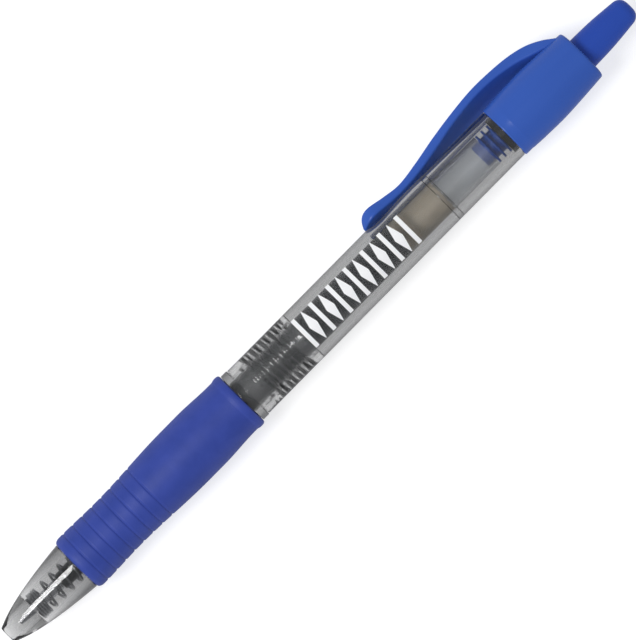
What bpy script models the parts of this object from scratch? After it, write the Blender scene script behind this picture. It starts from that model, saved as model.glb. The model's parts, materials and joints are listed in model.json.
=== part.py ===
"""Retractable gel pen, lying on a table with its clip turned down to the table.

The pen is built along its own axis, x = 0 at the nose end, with the clip towards +Y, under an empty
that then rolls it on to its clip and sets it down: +X runs from the nose to the button, +Z is up.
Blender 4.5, metres.
"""

import math

import bmesh
import bpy

MM = 0.001
TAU = 2.0 * math.pi
SEGMENTS = 24  # sides of a turned piece
FINE_SEGMENTS = 16  # sides of a turned piece inside the refill's tip
CROWN_SEGMENTS = 32  # four sides for each of the cam's eight teeth

# Clearances
END_GAP = 0.1 * MM  # between two pieces that butt along the axis
PRESS_GAP = 0.1 * MM  # round a piece pressed into another
SLIDE_GAP = 0.15 * MM  # round a piece that slides or turns in another
THREAD_GAP = 0.15 * MM

# Front section, from the nose end to the end of its thread
NOSE_LENGTH = 15.7 * MM
NOSE_TIP_RADIUS = 1.85 * MM
NOSE_BASE_RADIUS = 4.61 * MM
NOSE_ROUND = 0.85 * MM
NOSE_SWELL = (4.15 * MM, 1.77 * MM)  # the curve's handle, from the end of the rounding: along, out
NOSE_HOLE_RADIUS = 1.3 * MM
SPRING_SEAT = 6.0 * MM
SPRING_BORE_RADIUS = 2.65 * MM
BORE_CHAMFER = 0.5 * MM  # from the spring's bore up to the refill's
GRIP_SEAT_RADIUS = 3.95 * MM
FLANGE_STEP = 0.12 * MM  # how far the flange stands above the barrel
FLANGE_LENGTH = 1.3 * MM

# Screw thread between the front section and the barrel
THREAD_PITCH = 2.0 * MM
THREAD_TURNS = 4
THREAD_ROOT_RADIUS = 3.6 * MM
THREAD_CREST_RADIUS = 4.0 * MM
THREAD_RELIEF = 0.05 * MM
THREAD_RUN_IN = 1.0 * MM  # plain neck before the thread
THREAD_RUN_OUT = 1.6 * MM  # plain end behind it

# Rubber grip
GRIP_LENGTH = 37.6 * MM
GRIP_BELLY_RADIUS = 5.5 * MM
GRIP_BELLY_START = 25.0 * MM  # from the grip's front edge
GRIP_BELLY_LENGTH = 3.5 * MM
GRIP_FRONT_RADIUS = 5.18 * MM
GRIP_EDGE = 1.1 * MM  # the front edge's rounding
GRIP_WAIST_RADIUS = 4.97 * MM
GRIP_WAIST_PLACE = 9.5 * MM
GRIP_NECK_RADIUS = 5.2 * MM
GRIP_LIP_RADIUS = 5.37 * MM
GRIP_LIP_LENGTH = 1.5 * MM
GROOVE_COUNT = 8
GROOVE_START = 2.0 * MM  # from the grip's front edge to the first groove
GROOVE_PITCH = 2.087 * MM
GROOVE_WIDTH = 0.4 * MM
GROOVE_DEPTH = 0.18 * MM

# Barrel
BARREL_RADIUS = 4.75 * MM
BARREL_VISIBLE_LENGTH = 58.4 * MM
BARREL_BORE_RADIUS = 3.75 * MM
SPIGOT_RADIUS = 4.2 * MM
SPIGOT_LENGTH = 12.7 * MM
INNER_RING_RADIUS = 3.6 * MM
INNER_RING_BACK = 14.8 * MM  # from the ring to the collar
INNER_RING_LENGTH = 1.1 * MM

# Collar and clip, one moulding
COLLAR_LENGTH = 17.8 * MM
COLLAR_FRONT_STEP = 0.23 * MM  # how far the collar stands above the barrel: at its front edge,
COLLAR_BELLY_STEP = 0.52 * MM  # at its belly,
COLLAR_BELLY_PLACE = 8.5 * MM
COLLAR_REAR_STEP = 0.07 * MM  # and at its rear
COLLAR_CORNER = 0.8 * MM
COLLAR_WALL_REAR = 4.1 * MM
CLIP_LENGTH = 26.9 * MM  # from the collar's front edge forward
CLIP_APEX_STEP = 3.51 * MM  # how far the top of the clip's arch stands above the barrel
CLIP_WIDTH = 6.5 * MM  # at its arch,
CLIP_NECK_WIDTH = 3.5 * MM  # where it is narrowest,
CLIP_BULB_WIDTH = 5.2 * MM  # and at its end
CLIP_THICKNESS = 1.46 * MM
CLIP_NECK_THICKNESS = 1.37 * MM
CLIP_BULB_THICKNESS = 1.96 * MM
CLIP_EDGE = 0.4 * MM
CLIP_TOUCH = 0.1 * MM  # from the clip's underside to the barrel
CLIP_ROLL = math.radians(27.0)  # how far the clip is turned below the horizontal

# Push button
BUTTON_REACH = 10.9 * MM  # from the collar's end to the button's end
BUTTON_RADIUS = 2.93 * MM
BUTTON_END_RADIUS = 2.38 * MM
BUTTON_SWELL = 0.13 * MM  # how far its flank bulges past a straight taper
BUTTON_CORNER = 1.6 * MM
BUTTON_INSIDE = 1.8 * MM  # how much of it is inside the collar at rest
BUTTON_SOCKET_DEPTH = 6.8 * MM
STROKE = 6.0 * MM

# Cam: sleeve, plunger and rotor
STEM_RADIUS = 2.0 * MM
CAM_BODY_RADIUS = 2.25 * MM
CAM_FIN_RADIUS = 2.95 * MM
FIN_WIDTH = 0.5 * MM
RIB_WIDTH = 1.5 * MM
GUIDE_SLOT_WIDTH = 1.9 * MM
CAM_GAP = 0.1 * MM
TOOTH_COUNT = 8
TOOTH_HEIGHT = 0.8 * MM
PILOT_RADIUS = 1.1 * MM
PILOT_LENGTH = 1.7 * MM
PLUNGER_BODY = 3.5 * MM  # crown to the back of its ribs
ROTOR_BODY = 4.6 * MM  # fins' front to the crown
ROTOR_NOZZLE_GAP = 0.3 * MM  # round the nozzle in the refill
ROTOR_NOZZLE_INSIDE = 1.75 * MM
ROTOR_RING_RADIUS = 2.9 * MM
ROTOR_RING_WIDTH = 0.4 * MM
ROTOR_RING_PITCH = 1.2 * MM
ROTOR_RINGS = 3
ROTOR_NECK = 1.3 * MM  # last ring to the fins
FIN_REST_ANGLE = math.radians(-11.0)  # where the fins rest in their slots
SLEEVE_WALL = 0.4 * MM
SLEEVE_STOP = 0.5 * MM
SLEEVE_MOUTH = 0.8 * MM
SLEEVE_FLANGE = 0.8 * MM

# Refill
REFILL_RADIUS = 3.0 * MM
REFILL_WALL = 0.6 * MM
REFILL_FIT = 0.1 * MM  # round what fills or plugs the tube
FOLLOWER_LENGTH = 9.7 * MM
TUBE_EMPTY_LENGTH = 10.1 * MM  # behind the grease
HOLDER_PLUG_LENGTH = 3.4 * MM
HOLDER_SHOULDER_LENGTH = 0.9 * MM
HOLDER_SHOULDER_STEP = 0.05 * MM  # from the tube down to the holder's shoulder
HOLDER_STEM_LENGTH = 10.8 * MM
HOLDER_FRONT_RADIUS = 1.45 * MM
HOLDER_REAR_RADIUS = 1.95 * MM
HOLDER_BORE_RADIUS = 0.6 * MM
TIP_REST = 3.25 * MM  # from the nose end back to the tip, at rest
TIP_TUBE_RADIUS = 1.1 * MM
TIP_TUBE_LENGTH = 4.2 * MM
TIP_CONE_LENGTH = 4.65 * MM
TIP_STEM_RADIUS = 0.85 * MM
TIP_STEM_LENGTH = 3.0 * MM
TIP_MOUTH_RADIUS = 0.33 * MM
TIP_LIP = 0.09 * MM
TIP_CHANNEL_RADIUS = 0.3 * MM
BALL_RADIUS = 0.35 * MM
BALL_GAP = 0.05 * MM
BALL_PROUD = 0.1 * MM

# Return spring
SPRING_RADIUS = 2.27 * MM  # to the middle of the wire
WIRE_RADIUS = 0.225 * MM
CLOSED_PITCH = 0.48 * MM
FRONT_CLOSED_TURNS = 4
ACTIVE_TURNS = 7
REAR_CLOSED_TURNS = 2
WIRE_STEPS = 10  # points along one turn
WIRE_SIDES = 6

# Places along the axis, worked out from the nose end backwards
GRIP_START = NOSE_LENGTH + END_GAP
FLANGE_START = GRIP_START + GRIP_LENGTH + END_GAP
FLANGE_END = FLANGE_START + FLANGE_LENGTH
THREAD_START = FLANGE_END + THREAD_RUN_IN
THREAD_LENGTH = THREAD_PITCH * (THREAD_TURNS + 1)
FRONT_END = THREAD_START + THREAD_LENGTH + THREAD_RUN_OUT
BARREL_START = FLANGE_END + END_GAP
BARREL_SHOULDER = BARREL_START + BARREL_VISIBLE_LENGTH
SPIGOT_END = BARREL_SHOULDER + SPIGOT_LENGTH
COLLAR_START = BARREL_SHOULDER + END_GAP
COLLAR_END = COLLAR_START + COLLAR_LENGTH
COLLAR_FLOOR = COLLAR_END - COLLAR_WALL_REAR  # front face of its rear wall
BUTTON_END = COLLAR_END + BUTTON_REACH
BUTTON_START = COLLAR_END - BUTTON_INSIDE
BUTTON_SOCKET_END = BUTTON_START + BUTTON_SOCKET_DEPTH
STOP_REAR = BUTTON_START - STROKE - 2.0 * SLIDE_GAP  # the pressed button stays behind the stop
STOP_FRONT = STOP_REAR - SLEEVE_STOP
PLUNGER_BACK = STOP_FRONT - CAM_GAP
PLUNGER_CROWN = PLUNGER_BACK - PLUNGER_BODY
ROTOR_CROWN = PLUNGER_CROWN - CAM_GAP
FIN_REAR = ROTOR_CROWN - TOOTH_HEIGHT
FIN_FRONT = FIN_REAR - ROTOR_BODY
ROTOR_RINGS_END = FIN_FRONT - ROTOR_NECK
ROTOR_RINGS_START = ROTOR_RINGS_END - (ROTOR_RINGS - 1) * ROTOR_RING_PITCH - ROTOR_RING_WIDTH
GUIDE_START = FIN_REAR - STROKE + 1.0 * MM  # the fins leave their slots 1 mm before the stroke ends
SLEEVE_FRONT = GUIDE_START - SLEEVE_MOUTH
TUBE_END = ROTOR_RINGS_START - END_GAP
TIP_MOUTH = TIP_REST
BALL_CENTRE = TIP_MOUTH - BALL_PROUD + BALL_RADIUS
TIP_TUBE_START = TIP_MOUTH + TIP_CONE_LENGTH
TIP_TUBE_END = TIP_TUBE_START + TIP_TUBE_LENGTH
HOLDER_START = TIP_TUBE_END + END_GAP
SHOULDER_START = HOLDER_START + HOLDER_STEM_LENGTH
SHOULDER_END = SHOULDER_START + HOLDER_SHOULDER_LENGTH
PLUG_END = SHOULDER_END + HOLDER_PLUG_LENGTH
TUBE_START = SHOULDER_END + END_GAP
FOLLOWER_END = TUBE_END - TUBE_EMPTY_LENGTH
FOLLOWER_START = FOLLOWER_END - FOLLOWER_LENGTH
INK_START = PLUG_END + REFILL_FIT
INK_END = FOLLOWER_START - REFILL_FIT
WIDE_BORE_START = SHOULDER_START - STROKE - 0.4 * MM  # room for the pressed refill's shoulder

# Radii that follow from what goes through or round them
REFILL_BORE_RADIUS = REFILL_RADIUS - REFILL_WALL
FILL_RADIUS = REFILL_BORE_RADIUS - REFILL_FIT
ROTOR_NOZZLE_RADIUS = REFILL_BORE_RADIUS - ROTOR_NOZZLE_GAP
FLANGE_RADIUS = BARREL_RADIUS + FLANGE_STEP
COLLAR_FRONT_RADIUS = BARREL_RADIUS + COLLAR_FRONT_STEP
COLLAR_BELLY_RADIUS = BARREL_RADIUS + COLLAR_BELLY_STEP
COLLAR_REAR_RADIUS = BARREL_RADIUS + COLLAR_REAR_STEP
CLIP_APEX_RADIUS = BARREL_RADIUS + CLIP_APEX_STEP
HOLDER_SHOULDER_RADIUS = REFILL_RADIUS - HOLDER_SHOULDER_STEP
TUBE_ROOM_RADIUS = REFILL_RADIUS + SLIDE_GAP
THREAD_COVER_RADIUS = THREAD_CREST_RADIUS + THREAD_GAP + THREAD_RELIEF
COLLAR_BORE_RADIUS = SPIGOT_RADIUS + PRESS_GAP
BUTTON_HOLE_RADIUS = BUTTON_RADIUS + SLIDE_GAP
SLOT_ROOT_RADIUS = CAM_FIN_RADIUS + CAM_GAP
SLEEVE_BORE_RADIUS = CAM_BODY_RADIUS + CAM_GAP
SLEEVE_RADIUS = BUTTON_HOLE_RADIUS + SLEEVE_WALL


def remove_everything():
    for item in list(bpy.data.objects):
        bpy.data.objects.remove(item, do_unlink=True)


# Materials


def finish(node, colour, roughness, metallic=0.0, alpha=1.0):
    """A Principled material for one node; colour is linear red, green, blue."""
    material = bpy.data.materials.new(node + "_finish")
    material.use_nodes = True
    shader = material.node_tree.nodes["Principled BSDF"]
    shader.inputs["Base Color"].default_value = (*colour, 1.0)
    shader.inputs["Roughness"].default_value = roughness
    shader.inputs["Metallic"].default_value = metallic
    shader.inputs["Alpha"].default_value = alpha
    material.diffuse_color = (*colour, alpha)
    return material


def blue_plastic(node):
    return finish(node, (0.035, 0.085, 0.40), 0.25)


def blue_rubber(node):
    return finish(node, (0.030, 0.060, 0.26), 0.55)


def smoky_plastic(node):
    return finish(node, (0.30, 0.32, 0.34), 0.08, alpha=0.3)


def milky_tube(node):
    return finish(node, (0.45, 0.47, 0.48), 0.2, alpha=0.3)


def black_plastic(node):
    return finish(node, (0.02, 0.02, 0.02), 0.4)


def black_ink(node):
    return finish(node, (0.008, 0.008, 0.009), 0.2)


def tan_grease(node):
    return finish(node, (0.28, 0.22, 0.16), 0.3)


def steel(node):
    return finish(node, (0.56, 0.56, 0.57), 0.3, metallic=1.0)


# Mesh helpers


def node_object(name, bm, material, pen, place=(0.0, 0.0, 0.0)):
    """Turn a bmesh into a named object on the pen, smooth where it is round."""
    bmesh.ops.recalc_face_normals(bm, faces=bm.faces)
    mesh = bpy.data.meshes.new(name)
    bm.to_mesh(mesh)
    bm.free()
    if material:
        mesh.materials.append(material)
    mesh.shade_smooth()
    mesh.set_sharp_from_angle(angle=math.radians(35.0))
    item = bpy.data.objects.new(name, mesh)
    item.location = place
    item.parent = pen
    bpy.context.scene.collection.objects.link(item)
    return item


def tooth_wave(angle):
    """1 on a crown tooth's tip, 0 in the valley, straight between them."""
    return abs((angle * TOOTH_COUNT / TAU) % 1.0 * 2.0 - 1.0)


def ring(bm, x, radius, segments, rise=0.0):
    """Points round the axis, or one point on it; rise lifts them into crown teeth."""
    if radius == 0.0:
        return [bm.verts.new((x, 0.0, 0.0))]
    points = []
    for k in range(segments):
        angle = TAU * k / segments
        lifted = x + rise * tooth_wave(angle)
        points.append(bm.verts.new((lifted, radius * math.cos(angle), radius * math.sin(angle))))
    return points


def skin(bm, first, second):
    """Faces between two rings, either of which may be a single point."""
    count = max(len(first), len(second))
    for k in range(count):
        after = (k + 1) % count
        corners = [first[k % len(first)], first[after % len(first)]]
        corners += [second[after % len(second)], second[k % len(second)]]
        bm.faces.new(list(dict.fromkeys(corners)))


def turn(bm, outline, segments=SEGMENTS, closed=True):
    """Revolve an outline of (x, radius) or (x, radius, tooth rise) points about the axis."""
    rings = []
    for x, radius, *rise in outline:
        rings.append(ring(bm, x, radius, segments, *rise))
    for first, second in zip(rings, rings[1:]):
        skin(bm, first, second)
    if closed and len(rings[0]) > 1 and len(rings[-1]) > 1:
        skin(bm, rings[-1], rings[0])
    return rings


def screw(bm, before, behind, start, base, ridge):
    """Join two rings by a right-hand thread: base and ridge are its two radii."""
    steps = ((0.0, base), (0.3, base), (0.5, ridge), (0.8, ridge))
    rows = THREAD_TURNS * len(steps)
    columns = []
    for k in range(SEGMENTS):
        angle = TAU * k / SEGMENTS
        column = []
        for i in range(rows + 1 + (len(steps) if k == 0 else 0)):
            share, radius = steps[i % len(steps)]
            x = start + THREAD_PITCH * (i // len(steps) + share + k / SEGMENTS)
            column.append(bm.verts.new((x, radius * math.cos(angle), radius * math.sin(angle))))
        columns.append(column)
    columns.append(columns[0][len(steps) :])
    for k in range(SEGMENTS):
        here, there = columns[k], columns[k + 1]
        after = (k + 1) % SEGMENTS
        for i in range(rows):
            bm.faces.new((here[i], here[i + 1], there[i + 1], there[i]))
        bm.faces.new((before[k], here[0], there[0], before[after]))
        bm.faces.new((behind[k], behind[after], there[rows], here[rows]))
    bm.faces.new((before[0], *columns[0][: len(steps) + 1]))
    bm.faces.new((behind[0], *columns[0][rows:][::-1]))


def corner(x, radius, reach_x, reach_r, steps=4):
    """Points of a quarter round that starts along the axis and ends across it."""
    points = []
    for k in range(steps + 1):
        angle = math.pi / 2.0 * k / steps
        points.append((x + reach_x * math.sin(angle), radius + reach_r * (math.cos(angle) - 1.0)))
    return points


def box(bm, low, high, angle=0.0):
    """A box between two corners, turned about the axis."""
    corners = []
    for x in (low[0], high[0]):
        for y, z in ((low[1], low[2]), (high[1], low[2]), (high[1], high[2]), (low[1], high[2])):
            turned = (y * math.cos(angle) - z * math.sin(angle), y * math.sin(angle) + z * math.cos(angle))
            corners.append(bm.verts.new((x, *turned)))
    for face in ((0, 1, 2, 3), (4, 5, 6, 7), (0, 1, 5, 4), (1, 2, 6, 5), (2, 3, 7, 6), (3, 0, 4, 7)):
        bm.faces.new([corners[k] for k in face])


def spokes(bm, start, end, inner, outer, width, angle=0.0):
    """Four boxes round the axis, a quarter turn apart."""
    for k in range(4):
        box(bm, (start, inner, -width / 2.0), (end, outer, width / 2.0), angle + TAU * k / 4)


def combine(item, operation, tool):
    """Add a Boolean, and leave its tool as a hidden wire guide."""
    tool.hide_render = True
    tool.display_type = "WIRE"
    modifier = item.modifiers.new(tool.name, "BOOLEAN")
    modifier.operation = operation
    modifier.object = tool


def smooth_line(points, steps):
    """A Catmull-Rom curve through points of any number of values."""
    padded = [points[0], *points, points[-1]]
    line = []
    for a, b, c, d in zip(padded, padded[1:], padded[2:], padded[3:]):
        for k in range(steps):
            t = k / steps
            line.append(
                [
                    0.5 * (2 * q + (r - p) * t + (2 * p - 5 * q + 4 * r - s) * t**2
                           + (3 * q - p - 3 * r + s) * t**3)
                    for p, q, r, s in zip(a, b, c, d)
                ]
            )
    line.append(list(points[-1]))
    return line


# Front section and grip


def nose_outline(steps=6):
    """The rounded end and the swelling flank of the nose, front to back."""
    start = (NOSE_ROUND, NOSE_TIP_RADIUS)
    handle = (start[0] + NOSE_SWELL[0], start[1] + NOSE_SWELL[1])
    end = (NOSE_LENGTH, NOSE_BASE_RADIUS)
    face = NOSE_TIP_RADIUS - NOSE_HOLE_RADIUS
    points = corner(NOSE_ROUND, NOSE_TIP_RADIUS, -NOSE_ROUND, face * 0.9, 3)[:0:-1]
    for k in range(steps + 1):
        t = k / steps
        weights = ((1 - t) ** 2, 2 * t * (1 - t), t**2)
        flank = zip(weights, (start, handle, end))
        spots = [(w * x, w * r) for w, (x, r) in flank]
        points.append((sum(x for x, _ in spots), sum(r for _, r in spots)))
    return points


def make_front_section(pen):
    bm = bmesh.new()
    relief = THREAD_ROOT_RADIUS - THREAD_RELIEF
    outline = [
        (THREAD_START + THREAD_LENGTH + THREAD_PITCH / 8, relief),
        (FRONT_END, relief),
        (FRONT_END, TUBE_ROOM_RADIUS),
        (WIDE_BORE_START, TUBE_ROOM_RADIUS),
        (WIDE_BORE_START - BORE_CHAMFER, SPRING_BORE_RADIUS),
        (SPRING_SEAT, SPRING_BORE_RADIUS),
        (SPRING_SEAT, NOSE_HOLE_RADIUS),
        (0.0, NOSE_HOLE_RADIUS),
        *nose_outline(),
        (NOSE_LENGTH, GRIP_SEAT_RADIUS),
        (FLANGE_START, GRIP_SEAT_RADIUS),
        (FLANGE_START, FLANGE_RADIUS),
        (FLANGE_END, FLANGE_RADIUS),
        (FLANGE_END, relief),
        (THREAD_START - THREAD_PITCH / 8, relief),
    ]
    rings = turn(bm, outline, closed=False)
    screw(bm, rings[-1], rings[0], THREAD_START, THREAD_ROOT_RADIUS, THREAD_CREST_RADIUS)
    node_object("front_section", bm, smoky_plastic("front_section"), pen)


def grip_surface(x):
    """The grip's radius at a distance from its front edge, without grooves."""
    spots = (
        (GRIP_EDGE, GRIP_FRONT_RADIUS),
        (GRIP_WAIST_PLACE, GRIP_WAIST_RADIUS),
        (GRIP_BELLY_START, GRIP_BELLY_RADIUS),
        (GRIP_BELLY_START + GRIP_BELLY_LENGTH, GRIP_BELLY_RADIUS),
        (GRIP_LENGTH - 1.4 * GRIP_LIP_LENGTH, GRIP_NECK_RADIUS),
    )
    for (x0, r0), (x1, r1) in zip(spots, spots[1:]):
        if x <= x1:
            t = max(0.0, (x - x0) / (x1 - x0))
            return r0 + (r1 - r0) * (1.0 - math.cos(math.pi * t)) / 2.0
    return GRIP_NECK_RADIUS


def grip_outline():
    """Outside of the grip, front to back: rounded front, grooves, belly, neck and lip."""
    rise = GRIP_FRONT_RADIUS - NOSE_BASE_RADIUS
    points = corner(GRIP_EDGE, GRIP_FRONT_RADIUS, -GRIP_EDGE, rise)[::-1]
    for k in range(GROOVE_COUNT):
        middle = GROOVE_START + k * GROOVE_PITCH
        for shift, depth in ((-0.5, 0.0), (0.0, GROOVE_DEPTH), (0.5, 0.0)):
            x = middle + shift * GROOVE_WIDTH
            points.append((x, grip_surface(x) - depth))
    rest = GROOVE_START + GROOVE_COUNT * GROOVE_PITCH
    neck = GRIP_LENGTH - 1.4 * GRIP_LIP_LENGTH
    for k in range(7):
        x = rest + (neck - rest) * k / 6
        points.append((x, grip_surface(x)))
    points.append((GRIP_LENGTH - GRIP_LIP_LENGTH, GRIP_LIP_RADIUS))
    points.append((GRIP_LENGTH - 0.2 * GRIP_LIP_LENGTH, GRIP_LIP_RADIUS))
    points.append((GRIP_LENGTH, GRIP_NECK_RADIUS))
    return points


def make_grip_sleeve(pen):
    bm = bmesh.new()
    bore = GRIP_SEAT_RADIUS + PRESS_GAP
    outline = [(GRIP_START + x, radius) for x, radius in grip_outline()]
    outline += [(GRIP_START + GRIP_LENGTH, bore), (GRIP_START, bore)]
    turn(bm, outline)
    node_object("grip_sleeve", bm, blue_rubber("grip_sleeve"), pen)


# Barrel


def make_barrel(pen):
    bm = bmesh.new()
    thread_start = THREAD_START + THREAD_PITCH / 2
    thread_end = thread_start + THREAD_LENGTH
    chamfer = 0.1 * MM
    ring_start = BARREL_SHOULDER - INNER_RING_BACK
    ring_end = ring_start + INNER_RING_LENGTH
    outline = [
        (thread_end + THREAD_PITCH / 8, THREAD_COVER_RADIUS),
        (thread_end + THREAD_RUN_OUT / 2, THREAD_COVER_RADIUS),
        (thread_end + THREAD_RUN_OUT / 2, BARREL_BORE_RADIUS),
        (ring_start, BARREL_BORE_RADIUS),
        (ring_start + chamfer, INNER_RING_RADIUS),
        (ring_end - chamfer, INNER_RING_RADIUS),
        (ring_end, BARREL_BORE_RADIUS),
        (SPIGOT_END, BARREL_BORE_RADIUS),
        (SPIGOT_END, SPIGOT_RADIUS),
        (BARREL_SHOULDER, SPIGOT_RADIUS),
        (BARREL_SHOULDER, BARREL_RADIUS),
        (BARREL_START + chamfer, BARREL_RADIUS),
        (BARREL_START, BARREL_RADIUS - chamfer),
        (BARREL_START, THREAD_COVER_RADIUS),
        (thread_start - THREAD_PITCH / 8, THREAD_COVER_RADIUS),
    ]
    rings = turn(bm, outline, closed=False)
    base = THREAD_CREST_RADIUS + THREAD_GAP
    ridge = THREAD_ROOT_RADIUS + THREAD_GAP
    screw(bm, rings[-1], rings[0], thread_start, base, ridge)
    node_object("barrel", bm, smoky_plastic("barrel"), pen)


# Collar with clip


def collar_body(pen):
    bm = bmesh.new()
    lip = 0.15 * MM
    belly = COLLAR_START + COLLAR_BELLY_PLACE
    rear = COLLAR_END - COLLAR_CORNER
    outline = [(COLLAR_START, 0.0), (COLLAR_START, COLLAR_FRONT_RADIUS - lip)]
    line = (
        (COLLAR_START + lip, COLLAR_FRONT_RADIUS),
        (COLLAR_START + 0.45 * COLLAR_BELLY_PLACE, (COLLAR_FRONT_RADIUS + 2 * COLLAR_BELLY_RADIUS) / 3),
        (belly, COLLAR_BELLY_RADIUS),
        ((belly + rear) / 2, (COLLAR_REAR_RADIUS + 2 * COLLAR_BELLY_RADIUS) / 3),
        (rear, COLLAR_REAR_RADIUS),
    )
    outline += smooth_line(line, 2)
    outline += corner(rear, COLLAR_REAR_RADIUS, COLLAR_CORNER, COLLAR_CORNER, 3)[1:]
    outline.append((COLLAR_END, 0.0))
    turn(bm, outline)
    return node_object("clip_cap", bm, blue_plastic("clip_cap"), pen)


def clip_line():
    """Stations of the clip, end to root: place, outer radius, inner radius, width."""
    under = BARREL_RADIUS + CLIP_TOUCH
    bulb = under + CLIP_BULB_THICKNESS
    neck = under + CLIP_NECK_THICKNESS
    arch = CLIP_APEX_RADIUS - CLIP_THICKNESS
    rise = CLIP_APEX_RADIUS - neck
    lift = arch - under
    spread = CLIP_WIDTH - CLIP_NECK_WIDTH
    fall = CLIP_APEX_RADIUS - COLLAR_REAR_RADIUS
    end = -CLIP_LENGTH
    back = COLLAR_LENGTH
    points = (
        (end, under + 0.26 * CLIP_BULB_THICKNESS, under + 0.05 * MM, 0.4 * CLIP_BULB_WIDTH),
        (end + 0.6 * MM, under + 0.73 * CLIP_BULB_THICKNESS, under, 0.64 * CLIP_BULB_WIDTH),
        (end + 1.6 * MM, bulb, under, 0.88 * CLIP_BULB_WIDTH),
        (end + 3.1 * MM, bulb, under, CLIP_BULB_WIDTH),
        (end + 5.9 * MM, (bulb + neck) / 2, under, (CLIP_BULB_WIDTH + 2 * CLIP_NECK_WIDTH) / 3),
        (end + 9.2 * MM, neck, under, CLIP_NECK_WIDTH),
        (-13.5 * MM, neck + 0.23 * rise, under + 0.12 * lift, CLIP_NECK_WIDTH + 0.17 * spread),
        (-9.0 * MM, neck + 0.62 * rise, under + 0.49 * lift, CLIP_NECK_WIDTH + 0.33 * spread),
        (-4.5 * MM, neck + 0.84 * rise, under + 0.82 * lift, CLIP_NECK_WIDTH + 0.7 * spread),
        (0.04 * back, CLIP_APEX_RADIUS, arch, CLIP_WIDTH),
        (0.28 * back, CLIP_APEX_RADIUS - 0.02 * fall, arch - 0.05 * fall, CLIP_WIDTH),
        (0.51 * back, CLIP_APEX_RADIUS - 0.15 * fall, arch - 0.29 * fall, CLIP_WIDTH),
        (0.69 * back, CLIP_APEX_RADIUS - 0.41 * fall, arch - 0.63 * fall, CLIP_WIDTH),
        (0.83 * back, CLIP_APEX_RADIUS - 0.82 * fall, arch - 0.87 * fall, CLIP_WIDTH),
        (0.915 * back, CLIP_APEX_RADIUS - 1.2 * fall, arch - 0.93 * fall, 0.98 * CLIP_WIDTH),
        (0.945 * back, CLIP_APEX_RADIUS - 1.33 * fall, arch - 0.96 * fall, 0.93 * CLIP_WIDTH),
    )
    return smooth_line([(COLLAR_START + x, *sizes) for x, *sizes in points], 2)


def clip_strip(pen):
    """The clip as a strip with chamfered edges, swept along its line."""
    bm = bmesh.new()
    sections = []
    for x, outer, inner, width in clip_line():
        edge = min(CLIP_EDGE, (outer - inner) / 3)
        half = width / 2
        section = []
        for y, side in (
            (outer, half - edge), (outer - edge, half), (inner + edge, half), (inner, half - edge),
            (inner, edge - half), (inner + edge, -half), (outer - edge, -half), (outer, edge - half),
        ):
            section.append(bm.verts.new((x, y, side)))
        sections.append(section)
    for first, second in zip(sections, sections[1:]):
        skin(bm, first, second)
    bm.faces.new(sections[0])
    bm.faces.new(sections[-1])
    return node_object("clip_strip_guide", bm, None, pen)


def collar_bores(pen):
    """Cutter for the barrel's and the cam's room, and for the button's hole."""
    bm = bmesh.new()
    over = 1.0 * MM
    outline = [
        (COLLAR_START - over, 0.0),
        (COLLAR_START - over, COLLAR_BORE_RADIUS),
        (COLLAR_FLOOR, COLLAR_BORE_RADIUS),
        (COLLAR_FLOOR, BUTTON_HOLE_RADIUS),
        (COLLAR_END + over, BUTTON_HOLE_RADIUS),
        (COLLAR_END + over, 0.0),
    ]
    turn(bm, outline)
    return node_object("collar_bore_cutter", bm, None, pen)


def make_clip_cap(pen):
    cap = collar_body(pen)
    combine(cap, "UNION", clip_strip(pen))
    combine(cap, "DIFFERENCE", collar_bores(pen))


# Button and cam


def make_knock_button(pen):
    bm = bmesh.new()
    socket = STEM_RADIUS + PRESS_GAP
    chamfer = 0.2 * MM
    flank_end = BUTTON_END - BUTTON_CORNER
    outline = [
        (BUTTON_SOCKET_END, 0.0),
        (BUTTON_SOCKET_END, socket),
        (BUTTON_START, socket),
        (BUTTON_START, BUTTON_RADIUS - chamfer),
        (BUTTON_START + chamfer, BUTTON_RADIUS),
        (COLLAR_END, BUTTON_RADIUS),
        ((COLLAR_END + flank_end) / 2, (BUTTON_RADIUS + BUTTON_END_RADIUS) / 2 + BUTTON_SWELL),
        *corner(flank_end, BUTTON_END_RADIUS, BUTTON_CORNER, BUTTON_CORNER),
        (BUTTON_END, 0.0),
    ]
    turn(bm, outline)
    node_object("knock_button", bm, blue_plastic("knock_button"), pen)


def make_push_cam(pen):
    bm = bmesh.new()
    valley = PLUNGER_CROWN + TOOTH_HEIGHT
    stem_end = BUTTON_SOCKET_END - END_GAP
    outline = [
        (PLUNGER_CROWN - PILOT_LENGTH, 0.0),
        (PLUNGER_CROWN - PILOT_LENGTH, PILOT_RADIUS),
        (valley, PILOT_RADIUS, -TOOTH_HEIGHT),
        (valley, CAM_BODY_RADIUS, -TOOTH_HEIGHT),
        (PLUNGER_BACK, CAM_BODY_RADIUS),
        (PLUNGER_BACK, STEM_RADIUS),
        (stem_end, STEM_RADIUS),
        (stem_end, 0.0),
    ]
    turn(bm, outline, CROWN_SEGMENTS)
    cam = node_object("push_cam", bm, blue_plastic("push_cam"), pen)
    ribs = bmesh.new()
    spokes(ribs, valley + 0.3 * MM, PLUNGER_BACK - 0.05 * MM, PILOT_RADIUS, CAM_FIN_RADIUS - 0.1 * MM, RIB_WIDTH)
    combine(cam, "UNION", node_object("push_cam_ribs_guide", ribs, None, pen))


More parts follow.
